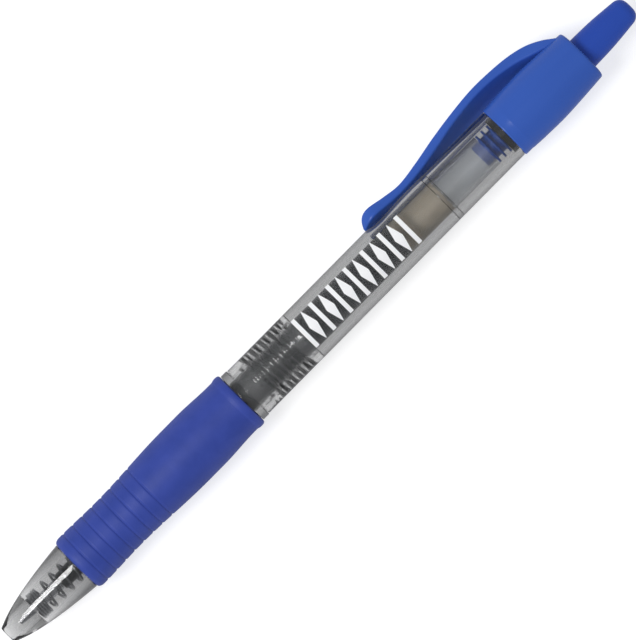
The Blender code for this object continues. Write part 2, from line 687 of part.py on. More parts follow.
def make_cam_rotor(pen):
    bm = bmesh.new()
    nozzle_start = ROTOR_RINGS_START - ROTOR_NOZZLE_INSIDE
    chamfer = 0.2 * MM
    outline = [(nozzle_start, 0.0), (nozzle_start, ROTOR_NOZZLE_RADIUS - chamfer)]
    outline.append((nozzle_start + chamfer, ROTOR_NOZZLE_RADIUS))
    for k in range(ROTOR_RINGS):
        start = ROTOR_RINGS_START + k * ROTOR_RING_PITCH
        end = start + ROTOR_RING_WIDTH
        outline += [(start, ROTOR_NOZZLE_RADIUS), (start, ROTOR_RING_RADIUS)]
        outline += [(end, ROTOR_RING_RADIUS), (end, ROTOR_NOZZLE_RADIUS)]
    bore = PILOT_RADIUS + CAM_GAP
    bore_end = PLUNGER_CROWN - PILOT_LENGTH - END_GAP
    outline += [
        (FIN_FRONT - chamfer, ROTOR_NOZZLE_RADIUS),
        (FIN_FRONT, CAM_BODY_RADIUS),
        (FIN_REAR, CAM_BODY_RADIUS, TOOTH_HEIGHT),
        (FIN_REAR, bore, TOOTH_HEIGHT),
        (bore_end, bore),
        (bore_end, 0.0),
    ]
    turn(bm, outline, CROWN_SEGMENTS)
    rotor = node_object("cam_rotor", bm, blue_plastic("cam_rotor"), pen)
    fins = bmesh.new()
    inside = (bore + CAM_BODY_RADIUS) / 2
    spokes(fins, FIN_FRONT + 0.1 * MM, FIN_REAR, inside, CAM_FIN_RADIUS, FIN_WIDTH, FIN_REST_ANGLE)
    combine(rotor, "UNION", node_object("rotor_fins_guide", fins, None, pen))


def make_cam_sleeve(pen):
    bm = bmesh.new()
    flange_start = SPIGOT_END + END_GAP
    outline = [
        (SLEEVE_FRONT, SLEEVE_RADIUS),
        (flange_start, SLEEVE_RADIUS),
        (flange_start, SPIGOT_RADIUS),
        (flange_start + SLEEVE_FLANGE, SPIGOT_RADIUS),
        (flange_start + SLEEVE_FLANGE, BUTTON_HOLE_RADIUS),
        (STOP_REAR, BUTTON_HOLE_RADIUS),
        (STOP_REAR, SLEEVE_BORE_RADIUS),
        (GUIDE_START, SLEEVE_BORE_RADIUS),
        (GUIDE_START, SLOT_ROOT_RADIUS),
        (SLEEVE_FRONT, SLOT_ROOT_RADIUS),
    ]
    turn(bm, outline)
    sleeve = node_object("cam_sleeve", bm, blue_plastic("cam_sleeve"), pen)
    slots = bmesh.new()
    inside = SLEEVE_BORE_RADIUS * 0.7
    spokes(slots, GUIDE_START - 0.2 * MM, STOP_FRONT, inside, SLOT_ROOT_RADIUS, GUIDE_SLOT_WIDTH)
    combine(sleeve, "DIFFERENCE", node_object("sleeve_slot_cutter", slots, None, pen))


# Refill


def make_refill_tube(pen):
    bm = bmesh.new()
    outline = [
        (TUBE_START, REFILL_RADIUS),
        (TUBE_END, REFILL_RADIUS),
        (TUBE_END, REFILL_BORE_RADIUS),
        (TUBE_START, REFILL_BORE_RADIUS),
    ]
    turn(bm, outline)
    node_object("refill_tube", bm, milky_tube("refill_tube"), pen)


def make_filling(pen, name, start, end, material):
    """A column of ink or grease in the refill tube."""
    bm = bmesh.new()
    turn(bm, [(start, 0.0), (start, FILL_RADIUS), (end, FILL_RADIUS), (end, 0.0)])
    node_object(name, bm, material, pen)


def make_tip_holder(pen):
    bm = bmesh.new()
    socket = TIP_STEM_RADIUS + PRESS_GAP
    socket_end = HOLDER_START + TIP_STEM_LENGTH + END_GAP
    outline = [
        (HOLDER_START, HOLDER_FRONT_RADIUS),
        (SHOULDER_START, HOLDER_REAR_RADIUS),
        (SHOULDER_START, HOLDER_SHOULDER_RADIUS),
        (SHOULDER_END, HOLDER_SHOULDER_RADIUS),
        (SHOULDER_END, FILL_RADIUS),
        (PLUG_END, FILL_RADIUS),
        (PLUG_END, HOLDER_BORE_RADIUS),
        (socket_end, HOLDER_BORE_RADIUS),
        (socket_end, socket),
        (HOLDER_START, socket),
    ]
    turn(bm, outline, FINE_SEGMENTS)
    node_object("tip_holder", bm, black_plastic("tip_holder"), pen)


def make_tip_body(pen):
    bm = bmesh.new()
    pocket = BALL_RADIUS + BALL_GAP
    pocket_end = BALL_CENTRE + BALL_RADIUS + BALL_GAP
    stem_end = HOLDER_START + TIP_STEM_LENGTH
    outline = [
        (TIP_MOUTH, TIP_MOUTH_RADIUS + TIP_LIP),
        (TIP_TUBE_START, TIP_TUBE_RADIUS),
        (TIP_TUBE_END, TIP_TUBE_RADIUS),
        (TIP_TUBE_END, TIP_STEM_RADIUS),
        (stem_end, TIP_STEM_RADIUS),
        (stem_end, TIP_CHANNEL_RADIUS),
        (pocket_end, TIP_CHANNEL_RADIUS),
        (pocket_end, pocket),
        (BALL_CENTRE - BALL_GAP, pocket),
        (TIP_MOUTH, TIP_MOUTH_RADIUS),
    ]
    turn(bm, outline, FINE_SEGMENTS)
    node_object("tip_body", bm, steel("tip_body"), pen)


def make_writing_ball(pen):
    bm = bmesh.new()
    bmesh.ops.create_uvsphere(bm, u_segments=12, v_segments=8, radius=BALL_RADIUS)
    node_object("writing_ball", bm, steel("writing_ball"), pen, (BALL_CENTRE, 0.0, 0.0))


def spring_place(turn_number, start, active_pitch):
    """How far along the axis the wire is after so many turns."""
    front = min(turn_number, FRONT_CLOSED_TURNS)
    active = min(max(turn_number - FRONT_CLOSED_TURNS, 0.0), ACTIVE_TURNS)
    rear = max(turn_number - FRONT_CLOSED_TURNS - ACTIVE_TURNS, 0.0)
    return start + (front + rear) * CLOSED_PITCH + active * active_pitch


def make_return_spring(pen):
    bm = bmesh.new()
    start = SPRING_SEAT + END_GAP + WIRE_RADIUS
    end = SHOULDER_START - END_GAP - WIRE_RADIUS
    closed = (FRONT_CLOSED_TURNS + REAR_CLOSED_TURNS) * CLOSED_PITCH
    active_pitch = (end - start - closed) / ACTIVE_TURNS
    turns = FRONT_CLOSED_TURNS + ACTIVE_TURNS + REAR_CLOSED_TURNS
    loops = []
    for k in range(turns * WIRE_STEPS + 1):
        middle = spring_place(k / WIRE_STEPS, start, active_pitch)
        angle = -TAU * k / WIRE_STEPS  # wound left-handed
        loop = []
        for side in range(WIRE_SIDES):
            around = TAU * side / WIRE_SIDES
            radius = SPRING_RADIUS + WIRE_RADIUS * math.cos(around)
            x = middle + WIRE_RADIUS * math.sin(around)
            loop.append(bm.verts.new((x, radius * math.cos(angle), radius * math.sin(angle))))
        loops.append(loop)
    for first, second in zip(loops, loops[1:]):
        skin(bm, first, second)
    bm.faces.new(loops[0])
    bm.faces.new(loops[-1])
    node_object("return_spring", bm, steel("return_spring"), pen)


# The whole pen


def set_down(pen):
    """Move the pen so that it stands on z = 0 with the middle of its box at x = y = 0."""
    bpy.context.view_layer.update()
    corners = []
    graph = bpy.context.evaluated_depsgraph_get()
    for item in bpy.data.objects:
        if item.type == "MESH" and not item.hide_render:
            shape = item.evaluated_get(graph)
            corners += [shape.matrix_world @ vertex.co for vertex in shape.data.vertices]
    low = [min(c[k] for c in corners) for k in range(3)]
    high = [max(c[k] for c in corners) for k in range(3)]
    pen.location.x -= (low[0] + high[0]) / 2
    pen.location.y -= (low[1] + high[1]) / 2
    pen.location.z -= low[2]
    bpy.context.view_layer.update()


def make_pen():
    remove_everything()
    pen = bpy.data.objects.new("pen_axis", None)
    bpy.context.scene.collection.objects.link(pen)
    pen.rotation_euler.x = -CLIP_ROLL
    make_front_section(pen)
    make_grip_sleeve(pen)
    make_barrel(pen)
    make_clip_cap(pen)
    make_knock_button(pen)
    make_push_cam(pen)
    make_cam_rotor(pen)
    make_cam_sleeve(pen)
    make_refill_tube(pen)
    make_filling(pen, "gel_ink", INK_START, INK_END, black_ink("gel_ink"))
    make_filling(pen, "grease_follower", FOLLOWER_START, FOLLOWER_END, tan_grease("grease_follower"))
    make_tip_holder(pen)
    make_tip_body(pen)
    make_writing_ball(pen)
    make_return_spring(pen)
    set_down(pen)


make_pen()
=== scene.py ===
"""The looks of a retractable gel pen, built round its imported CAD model.

Every mesh is drawn along the pen's own axis, in millimetres: x runs from the nose end to the button, and
an angle round the axis starts at the clip. Only the finished mesh is laid on the frame. Blender 4.5.
"""

import json
import math

import bmesh
import bpy
from mathutils import Matrix, Vector


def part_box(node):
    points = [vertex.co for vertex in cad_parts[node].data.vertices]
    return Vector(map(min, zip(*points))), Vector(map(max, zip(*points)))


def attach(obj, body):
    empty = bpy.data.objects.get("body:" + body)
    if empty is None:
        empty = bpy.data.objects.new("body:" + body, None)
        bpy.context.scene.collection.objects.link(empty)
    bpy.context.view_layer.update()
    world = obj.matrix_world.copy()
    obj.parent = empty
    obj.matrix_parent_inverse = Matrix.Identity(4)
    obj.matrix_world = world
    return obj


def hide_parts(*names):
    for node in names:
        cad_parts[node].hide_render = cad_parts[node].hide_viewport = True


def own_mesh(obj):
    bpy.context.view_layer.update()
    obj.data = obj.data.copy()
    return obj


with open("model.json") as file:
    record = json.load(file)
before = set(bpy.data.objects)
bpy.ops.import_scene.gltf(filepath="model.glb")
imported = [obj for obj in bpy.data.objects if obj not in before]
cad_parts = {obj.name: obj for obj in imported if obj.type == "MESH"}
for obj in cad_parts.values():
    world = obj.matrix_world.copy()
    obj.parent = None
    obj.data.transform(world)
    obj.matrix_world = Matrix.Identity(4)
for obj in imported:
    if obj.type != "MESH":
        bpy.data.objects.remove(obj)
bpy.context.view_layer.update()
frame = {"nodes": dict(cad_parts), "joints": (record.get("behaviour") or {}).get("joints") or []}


# The pen's axis
# The front section unscrews about the pen's own axis, so that joint gives the axis. The pen lies rolled
# over, with its clip turned down to the table.
CLIP_ROLL = math.radians(27)
nose_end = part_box("front_section")[0].x
unscrew = next(joint for joint in frame["joints"] if joint["name"] == "front_unscrew")
axis_place = Vector((nose_end, *unscrew["pos_m"][1:]))
PEN = Matrix.Translation(axis_place) @ Matrix.Rotation(-CLIP_ROLL, 4, "X") @ Matrix.Scale(0.001, 4)
TOP = math.pi / 2 + CLIP_ROLL  # the angle round the axis that faces straight up


def span(node):
    """Where a CAD node starts and ends, in millimetres from the nose end."""
    low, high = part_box(node)
    return (low.x - nose_end) * 1000, (high.x - nose_end) * 1000


# Front section
# The see-through nose that the grip sits on: one moulding in smoke tinted styrene, with the spring's seat
# inside, a flange behind the grip and a coarse screw thread that holds it in the barrel.
NOSE_LENGTH = span("grip_sleeve")[0] - 0.1
NOSE_TIP_RADIUS = 1.85
NOSE_BASE_RADIUS = 4.61
NOSE_HOLE_RADIUS = 1.3
SPRING_SEAT = 6.0
SPRING_BORE_RADIUS = 2.65
REFILL_BORE_RADIUS = 3.15
REFILL_BORE_START = 16.6
GRIP_SEAT_RADIUS = 3.95
FLANGE_RADIUS = 4.87
FLANGE_START = span("grip_sleeve")[1] + 0.1
FLANGE_END = span("barrel")[0] - 0.1
FRONT_END = span("front_section")[1]
THREAD_START = FLANGE_END + 1.0  # a plain stretch at each end
THREAD_END = FRONT_END - 1.6
THREAD_PITCH = 2.0
THREAD_ROOT_RADIUS = 3.6
THREAD_HEIGHT = 0.4
THREAD_CREST = 0.65  # where in each pitch the ridge is highest
THREAD_STEP = 0.1  # between the rings of points that carry the thread
NOSE_SMOKE = 300.0  # how fast the tint takes up light, per metre of plastic
RIPPLE_WIDTH = 1.43


def bezier(points, steps):
    """Points along the Bezier curve that these points steer."""
    line = []
    for k in range(steps + 1):
        level = [Vector(point) for point in points]
        while len(level) > 1:
            level = [a.lerp(b, k / steps) for a, b in zip(level, level[1:])]
        line.append(level[0])
    return line


def rounded(corners, steps=5):
    """A closed outline of (x, radius, rounding) corners, with each corner rounded off."""
    line = []
    for k, (x, radius, *rounding) in enumerate(corners):
        here = Vector((x, radius))
        if not rounding:
            line.append(here)
            continue
        ends = []
        for other in (corners[k - 1], corners[(k + 1) % len(corners)]):
            way = Vector(other[:2]) - here
            ends.append(here + way.normalized() * min(rounding[0], way.length / 2))
        line += bezier((ends[0], here, ends[1]), steps)
    return line


def turned(name, line, segments=128, shape=None):
    """Turn an outline about the axis; shape may move a point, given its x, radius and angle."""
    bm = bmesh.new()
    rings = []
    for x, radius in line:
        ring = []
        for k in range(segments if radius > 0 else 1):
            angle = math.tau * k / segments
            px, pr = shape(x, radius, angle) if shape else (x, radius)
            ring.append(bm.verts.new((px, pr * math.cos(angle), pr * math.sin(angle))))
        rings.append(ring)
    if len(rings[0]) > 1:
        rings.append(rings[0])
    for first, second in zip(rings, rings[1:]):
        for k in range(segments):
            after = (k + 1) % segments
            corners = [first[k % len(first)], first[after % len(first)]]
            corners += [second[after % len(second)], second[k % len(second)]]
            bm.faces.new(dict.fromkeys(corners))
    return to_object(name, bm)


def to_object(name, bm):
    """Close a bmesh into an object whose faces point outwards, smooth up to its edges."""
    bmesh.ops.remove_doubles(bm, verts=bm.verts, dist=1e-5)
    bmesh.ops.recalc_face_normals(bm, faces=bm.faces)
    mesh = bpy.data.meshes.new(name)
    bm.to_mesh(mesh)
    bm.free()
    mesh.shade_smooth()
    mesh.set_sharp_from_angle(angle=math.radians(40))
    item = bpy.data.objects.new(name, mesh)
    bpy.context.scene.collection.objects.link(item)
    return item


def fit(piece, material, body, slot, *nodes):
    """Lay a finished piece on the frame: its place goes into its mesh, and it stands for CAD nodes."""
    piece.data.transform(PEN)
    piece.data.materials.clear()
    piece.data.materials.append(material)
    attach(piece, body)
    if nodes:
        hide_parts(*nodes)
    return piece


def thread_height(x, angle, start, end):
    """How high the thread stands: a rounded ridge that fades in over a turn and out over half a turn."""
    share = ((x - start) / THREAD_PITCH - angle / math.tau) % 1.0
    ridge = 0.5 + 0.5 * math.cos(math.tau * (share - THREAD_CREST))
    fade = min((x - start) / THREAD_PITCH, (end - x) / THREAD_PITCH * 2, 1.0)
    return THREAD_HEIGHT * ridge * max(0.0, fade)


def male_thread(x, radius, angle):
    if radius < THREAD_ROOT_RADIUS - 0.01 or not THREAD_START < x < THREAD_END:
        return x, radius
    return x, radius + thread_height(x, angle, THREAD_START, THREAD_END)


thread_rings = round((THREAD_END - THREAD_START) / THREAD_STEP)
front_outline = [(0.0, NOSE_HOLE_RADIUS, 0.05)]
front_outline += bezier(((0.0, 1.4), (0.0, 1.6), (0.4, 1.68), (0.85, NOSE_TIP_RADIUS)), 10)
front_outline += bezier(((0.85, NOSE_TIP_RADIUS), (5.0, 3.62), (NOSE_LENGTH, NOSE_BASE_RADIUS)), 30)[1:-1]
front_outline += [
    (NOSE_LENGTH, NOSE_BASE_RADIUS, 0.1),
    (NOSE_LENGTH, GRIP_SEAT_RADIUS),
    (FLANGE_START, GRIP_SEAT_RADIUS),
    (FLANGE_START, FLANGE_RADIUS, 0.15),
    (FLANGE_END, FLANGE_RADIUS, 0.15),
    (FLANGE_END, THREAD_ROOT_RADIUS),
]
front_outline += [(THREAD_START + k * THREAD_STEP, THREAD_ROOT_RADIUS) for k in range(thread_rings)]
front_outline += [
    (FRONT_END, THREAD_ROOT_RADIUS, 0.15),
    (FRONT_END, REFILL_BORE_RADIUS, 0.1),
    (REFILL_BORE_START, REFILL_BORE_RADIUS),
    (REFILL_BORE_START - 0.5, SPRING_BORE_RADIUS),
    (SPRING_SEAT, SPRING_BORE_RADIUS, 0.1),
    (SPRING_SEAT, NOSE_HOLE_RADIUS),
]


def linear(colour):
    """An sRGB hex colour as the linear red, green, blue and alpha that shaders take."""
    channels = [int(colour[k : k + 2], 16) / 255 for k in (1, 3, 5)]
    return [c / 12.92 if c <= 0.04045 else ((c + 0.055) / 1.055) ** 2.4 for c in channels] + [1.0]


def add(tree, kind, inputs=None, **settings):
    """Add a node; an input takes a value, or a socket to link it to."""
    item = tree.nodes.new(kind)
    for key, value in settings.items():
        setattr(item, key, value)
    for key, value in (inputs or {}).items():
        if isinstance(value, bpy.types.NodeSocket):
            tree.links.new(value, item.inputs[key])
        else:
            item.inputs[key].default_value = value
    return item


def pattern_scale(width):
    """The scale of a pattern whose features are this wide, in millimetres."""
    return 1000.0 / width


def start_material(name):
    """An empty material, its node tree, and the Object coordinates, which are in metres."""
    material = bpy.data.materials.new(name)
    material.use_nodes = True
    tree = material.node_tree
    tree.nodes.clear()
    return material, tree, add(tree, "ShaderNodeTexCoord").outputs["Object"]


def smoke_styrene(name, absorption):
    """Moulded smoke tinted styrene: clear and glossy, and darker where it is thicker.

    Lamps shine straight through the surface, because the sampler can't find a lamp through glass, and
    what is inside would go dark.
    """
    material, tree, place = start_material(name)
    ripple = add(tree, "ShaderNodeTexNoise", {
        "Vector": place, "Scale": pattern_scale(RIPPLE_WIDTH), "Detail": 2.0,
    })
    haze = add(tree, "ShaderNodeMapRange", {"Value": ripple.outputs["Fac"], "To Min": 0.01, "To Max": 0.07})
    bump = add(tree, "ShaderNodeBump", {
        "Height": ripple.outputs["Fac"], "Strength": 0.15, "Distance": 0.00002,
    })
    plastic = add(tree, "ShaderNodeBsdfPrincipled", {
        "Base Color": linear("#FFFFFF"),
        "Roughness": haze.outputs["Result"],
        "IOR": 1.57,
        "Transmission Weight": 1.0,
        "Normal": bump.outputs["Normal"],
    })
    lamps = add(tree, "ShaderNodeBsdfTransparent", {"Color": linear("#FAFAFA")})
    path = add(tree, "ShaderNodeLightPath")
    mix = add(tree, "ShaderNodeMixShader", {
        0: path.outputs["Is Shadow Ray"], 1: plastic.outputs["BSDF"], 2: lamps.outputs["BSDF"],
    })
    smoke = add(tree, "ShaderNodeVolumeAbsorption", {"Color": linear("#101418"), "Density": absorption})
    add(tree, "ShaderNodeOutputMaterial", {
        "Surface": mix.outputs["Shader"], "Volume": smoke.outputs["Volume"],
    })
    return material


front = turned("front_section_clear", rounded(front_outline), shape=male_thread)
front_smoke = smoke_styrene("smoke_styrene_front", NOSE_SMOKE)
fit(front, front_smoke, "front_body", "smoky_clear_plastic", "front_section")


# Grip
# A soft thermoplastic rubber sleeve, moulded over the front section: waisted, with eight finger grooves,
# a belly, and a bead at its rear edge. It has the fine matt grain of a spark-eroded mould.
GRIP_START, GRIP_END = span("grip_sleeve")
GRIP_LENGTH = GRIP_END - GRIP_START
GRIP_FRONT_RADIUS = 5.18
GRIP_FRONT_ROUND = 1.1
GRIP_BEAD_RADIUS = 5.38
GRIP_BEAD_LENGTH = 1.7
GRIP_BORE_RADIUS = GRIP_SEAT_RADIUS + 0.1
GROOVE_COUNT = 8
GROOVE_START = 2.0
GROOVE_PITCH = 2.087
GROOVE_DEPTH = 0.14
GROOVE_HALF_WIDTH = 0.17
GROOVE_STEP = 0.05  # between the points that draw the grooves
BELLY_STEP = 0.4  # between those of the smooth belly
HANDLING_MARK = 3.85
RUBBER_GRAIN = 0.2
GRIP_SWELL = (  # distance from the front edge, radius
    (GRIP_FRONT_ROUND, GRIP_FRONT_RADIUS),
    (9.5, 4.98),
    (24.8, 5.5),
    (28.3, 5.5),
    (GRIP_LENGTH - GRIP_BEAD_LENGTH - 0.5, 5.22),
    (GRIP_LENGTH, 5.22),
)


def grip_radius(x):
    """The sleeve's radius, easing from each swell to the next, with the grooves taken out."""
    for (x0, r0), (x1, r1) in zip(GRIP_SWELL, GRIP_SWELL[1:]):
        if x <= x1:
            share = max(0.0, (x - x0) / (x1 - x0))
            radius = r0 + (r1 - r0) * (1 - math.cos(math.pi * share)) / 2
            break
    groove = round((x - GROOVE_START) / GROOVE_PITCH)
    groove = min(max(groove, 0), GROOVE_COUNT - 1)
    off = (x - GROOVE_START - groove * GROOVE_PITCH) / GROOVE_HALF_WIDTH
    return radius - GROOVE_DEPTH * math.exp(-off * off)


grooves_end = GROOVE_START + GROOVE_COUNT * GROOVE_PITCH
bead_start = GRIP_LENGTH - GRIP_BEAD_LENGTH
grip_rise = GRIP_FRONT_RADIUS - NOSE_BASE_RADIUS
grip_line = bezier(
    ((0.0, NOSE_BASE_RADIUS - 0.02), (0.0, NOSE_BASE_RADIUS + 0.6 * grip_rise),
     (0.45 * GRIP_FRONT_ROUND, GRIP_FRONT_RADIUS), (GRIP_FRONT_ROUND, GRIP_FRONT_RADIUS)), 12
)
x = GRIP_FRONT_ROUND + 0.2
while x < bead_start:
    grip_line.append(Vector((x, grip_radius(x))))
    x += GROOVE_STEP if x < grooves_end else BELLY_STEP
bead = (
    (bead_start, grip_radius(bead_start)), (bead_start + 0.3, grip_radius(bead_start)),
    (bead_start + 0.3, GRIP_BEAD_RADIUS), (bead_start + 0.9, GRIP_BEAD_RADIUS),
)
grip_line += bezier(bead, 12)
grip_line += bezier(
    ((bead_start + 0.95, GRIP_BEAD_RADIUS), (GRIP_LENGTH, GRIP_BEAD_RADIUS), (GRIP_LENGTH, 4.9)), 10
)
grip_line += [Vector((GRIP_LENGTH, GRIP_BORE_RADIUS)), Vector((0.0, GRIP_BORE_RADIUS))]


def matt_rubber(name, colour, worn_colour):
    """Matt blue thermoplastic rubber: dull, with a soft sheen and slight handling marks.

    The real grain is about 0.05 mm and would not show, so it is drawn coarser.
    """
    material, tree, place = start_material(name)
    marks = add(tree, "ShaderNodeTexNoise", {
        "Vector": place, "Scale": pattern_scale(HANDLING_MARK), "Detail": 4.0,
    })
    patch = add(tree, "ShaderNodeMapRange", {
        "Value": marks.outputs["Fac"], "From Min": 0.35, "From Max": 0.75,
    })
    tone = add(tree, "ShaderNodeMix", {
        "Factor": patch.outputs["Result"], 6: linear(colour), 7: linear(worn_colour),
    }, data_type="RGBA")
    grain = add(tree, "ShaderNodeTexNoise", {
        "Vector": place, "Scale": pattern_scale(RUBBER_GRAIN), "Detail": 1.0,
    })
    rough = add(tree, "ShaderNodeMapRange", {"Value": grain.outputs["Fac"], "To Min": 0.42, "To Max": 0.6})
    bump = add(tree, "ShaderNodeBump", {
        "Height": grain.outputs["Fac"], "Strength": 0.3, "Distance": 0.00004,
    })
    rubber = add(tree, "ShaderNodeBsdfPrincipled", {
        "Base Color": tone.outputs[2],
        "Roughness": rough.outputs["Result"],
        "IOR": 1.5,
        "Specular IOR Level": 0.3,
        "Sheen Weight": 0.06,
        "Sheen Roughness": 0.5,
        "Sheen Tint": linear("#8FA0E0"),
        "Normal": bump.outputs["Normal"],
    })
    add(tree, "ShaderNodeOutputMaterial", {"Surface": rubber.outputs["BSDF"]})
    return material


grip = turned("grip_rubber", [(GRIP_START + point.x, point.y) for point in grip_line])
grip_rubber = matt_rubber("matt_blue_rubber", "#2C4094", "#3548A0")
fit(grip, grip_rubber, "front_body", "blue_rubber", "grip_sleeve")


# Barrel
# A smoke tinted styrene tube, screwed on to the front section. It has a locating ring moulded round its
# bore, and a thinner spigot at the rear that the clip's collar is pressed over.
BARREL_START, SPIGOT_END = span("barrel")
BARREL_RADIUS = 4.75
BARREL_VISIBLE_LENGTH = 58.4
BARREL_SHOULDER = BARREL_START + BARREL_VISIBLE_LENGTH
BORE_RADIUS = 3.75
SPIGOT_RADIUS = 4.2
THREAD_CLEARANCE = 0.15
COVER_RADIUS = THREAD_ROOT_RADIUS + THREAD_HEIGHT + THREAD_CLEARANCE
RING_START = BARREL_SHOULDER - 14.8
RING_LENGTH = 1.1
RING_RADIUS = 3.6
FEMALE_START = THREAD_START + THREAD_PITCH / 2
FEMALE_END = FEMALE_START + THREAD_END - THREAD_START
COUNTERBORE_END = FEMALE_END + 0.8
BARREL_SMOKE = 430.0


def female_thread(x, radius, angle):
    if not COVER_RADIUS - 0.01 < radius < COVER_RADIUS + 0.01 or not FEMALE_START < x < FEMALE_END:
        return x, radius
    return x, radius - thread_height(x, angle, FEMALE_START, FEMALE_END)


barrel_outline = [
    (BARREL_START, BARREL_RADIUS, 0.12),
    (BARREL_SHOULDER, BARREL_RADIUS, 0.05),
    (BARREL_SHOULDER, SPIGOT_RADIUS),
    (SPIGOT_END, SPIGOT_RADIUS, 0.1),
    (SPIGOT_END, BORE_RADIUS, 0.1),
    (RING_START + RING_LENGTH, BORE_RADIUS),
    (RING_START + RING_LENGTH - 0.1, RING_RADIUS, 0.05),
    (RING_START + 0.1, RING_RADIUS, 0.05),
    (RING_START, BORE_RADIUS),
    (COUNTERBORE_END, BORE_RADIUS, 0.1),
    (COUNTERBORE_END, COVER_RADIUS, 0.1),
]
barrel_outline += [(FEMALE_END - k * THREAD_STEP, COVER_RADIUS) for k in range(thread_rings)]
barrel_outline.append((BARREL_START, COVER_RADIUS, 0.1))
barrel = turned("barrel_clear", rounded(barrel_outline), shape=female_thread)
barrel_smoke = smoke_styrene("smoke_styrene_barrel", BARREL_SMOKE)
fit(barrel, barrel_smoke, "barrel_body", "smoky_clear_plastic", "barrel")


# Printed band
# A plain band of white lozenges and bars, pad printed along the top of the barrel in place of lettering.
# The ink is a film that stands a little proud of the plastic.
PRINT_START = 68.02
PRINT_COUNT = 13
PRINT_PITCH = 1.946
PRINT_HEIGHT = 6.3  # measured round the barrel
PRINT_LOZENGE = 1.65
PRINT_BAR = 0.75
PRINT_INK = 0.02
PRINT_TURN = math.radians(2.0)  # from straight up
LOZENGE_TAPER = 1.9  # 2 would bring each end to a point
INK_GRAIN = 0.25


def modifier_tree(name, sizes):
    """A new Geometry Nodes tree with named number inputs, and the sockets that give them."""
    tree = bpy.data.node_groups.new(name, "GeometryNodeTree")
    tree.interface.new_socket("Geometry", in_out="OUTPUT", socket_type="NodeSocketGeometry")
    for label, value in sizes.items():
        kind = "NodeSocketInt" if isinstance(value, int) else "NodeSocketFloat"
        tree.interface.new_socket(label, in_out="INPUT", socket_type=kind)
    tree.interface.new_socket("Material", in_out="INPUT", socket_type="NodeSocketMaterial")
    return tree, add(tree, "NodeGroupInput").outputs


def grown(name, tree, sizes, material):
    """Run a Geometry Nodes tree and keep its result as a plain mesh object."""
    item = bpy.data.objects.new(name, bpy.data.meshes.new(name))
    bpy.context.scene.collection.objects.link(item)
    modifier = item.modifiers.new(tree.name, "NODES")
    modifier.node_group = tree
    values = dict(sizes, Material=material)
    for socket in tree.interface.items_tree:
        if socket.in_out == "INPUT":
            modifier[socket.identifier] = values[socket.name]
    bpy.context.view_layer.update()
    result = item.evaluated_get(bpy.context.evaluated_depsgraph_get())
    mesh = bpy.data.meshes.new_from_object(result)
    item.modifiers.remove(modifier)
    item.data = mesh
    mesh.name = name
    return item


print_sizes = {
    "Count": PRINT_COUNT,
    "Pitch": PRINT_PITCH,
    "Height": PRINT_HEIGHT,
    "Lozenge Width": PRINT_LOZENGE,
    "Bar Width": PRINT_BAR,
    "Ink Thickness": PRINT_INK,
    "Start": PRINT_START,
    "Radius": BARREL_RADIUS + PRINT_INK / 2,
    "Middle Angle": TOP - PRINT_TURN,
}
tree, given = modifier_tree("printed_band", print_sizes)
size = add(tree, "ShaderNodeCombineXYZ", {
    "X": given["Lozenge Width"], "Y": given["Height"], "Z": given["Ink Thickness"],
})
plate = add(tree, "GeometryNodeMeshCube", {
    "Size": size.outputs[0], "Vertices X": 5, "Vertices Y": 41, "Vertices Z": 2,
})
spot = add(tree, "ShaderNodeSeparateXYZ", {0: add(tree, "GeometryNodeInputPosition").outputs[0]})
away = add(tree, "ShaderNodeMath", {0: spot.outputs["Y"]}, operation="ABSOLUTE")
share = add(tree, "ShaderNodeMath", {0: away.outputs[0], 1: given["Height"]}, operation="DIVIDE")
slim = add(tree, "ShaderNodeMath", {
    0: share.outputs[0], 1: -LOZENGE_TAPER, 2: 1.0,
}, operation="MULTIPLY_ADD")
waist = add(tree, "ShaderNodeMath", {0: spot.outputs["X"], 1: slim.outputs[0]}, operation="MULTIPLY")
drawn = add(tree, "ShaderNodeCombineXYZ", {
    "X": waist.outputs[0], "Y": spot.outputs["Y"], "Z": spot.outputs["Z"],
})
lozenge = add(tree, "GeometryNodeSetPosition", {
    "Geometry": plate.outputs["Mesh"], "Position": drawn.outputs[0],
})
bar_size = add(tree, "ShaderNodeCombineXYZ", {
    "X": given["Bar Width"], "Y": given["Height"], "Z": given["Ink Thickness"],
})
bar = add(tree, "GeometryNodeMeshCube", {
    "Size": bar_size.outputs[0], "Vertices X": 3, "Vertices Y": 41, "Vertices Z": 2,
})
shapes = add(tree, "GeometryNodeGeometryToInstance", {0: lozenge.outputs[0]})
tree.links.new(bar.outputs["Mesh"], shapes.inputs[0])
step = add(tree, "ShaderNodeCombineXYZ", {"X": given["Pitch"]})
row = add(tree, "GeometryNodeMeshLine", {"Count": given["Count"], "Offset": step.outputs[0]})
turn_by = add(tree, "ShaderNodeMath", {
    0: add(tree, "GeometryNodeInputIndex").outputs[0], 1: 2.0,
}, operation="MODULO")
spread = add(tree, "GeometryNodeInstanceOnPoints", {
    "Points": row.outputs["Mesh"], "Instance": shapes.outputs[0], "Pick Instance": True,
    "Instance Index": turn_by.outputs[0],
})
flat = add(tree, "GeometryNodeRealizeInstances", {"Geometry": spread.outputs[0]})
there = add(tree, "ShaderNodeSeparateXYZ", {0: add(tree, "GeometryNodeInputPosition").outputs[0]})
radius = add(tree, "ShaderNodeMath", {0: there.outputs["Z"], 1: given["Radius"]}, operation="ADD")
around = add(tree, "ShaderNodeMath", {0: there.outputs["Y"], 1: given["Radius"]}, operation="DIVIDE")
angle = add(tree, "ShaderNodeMath", {0: given["Middle Angle"], 1: around.outputs[0]}, operation="SUBTRACT")
cosine = add(tree, "ShaderNodeMath", {0: angle.outputs[0]}, operation="COSINE")
sine = add(tree, "ShaderNodeMath", {0: angle.outputs[0]}, operation="SINE")
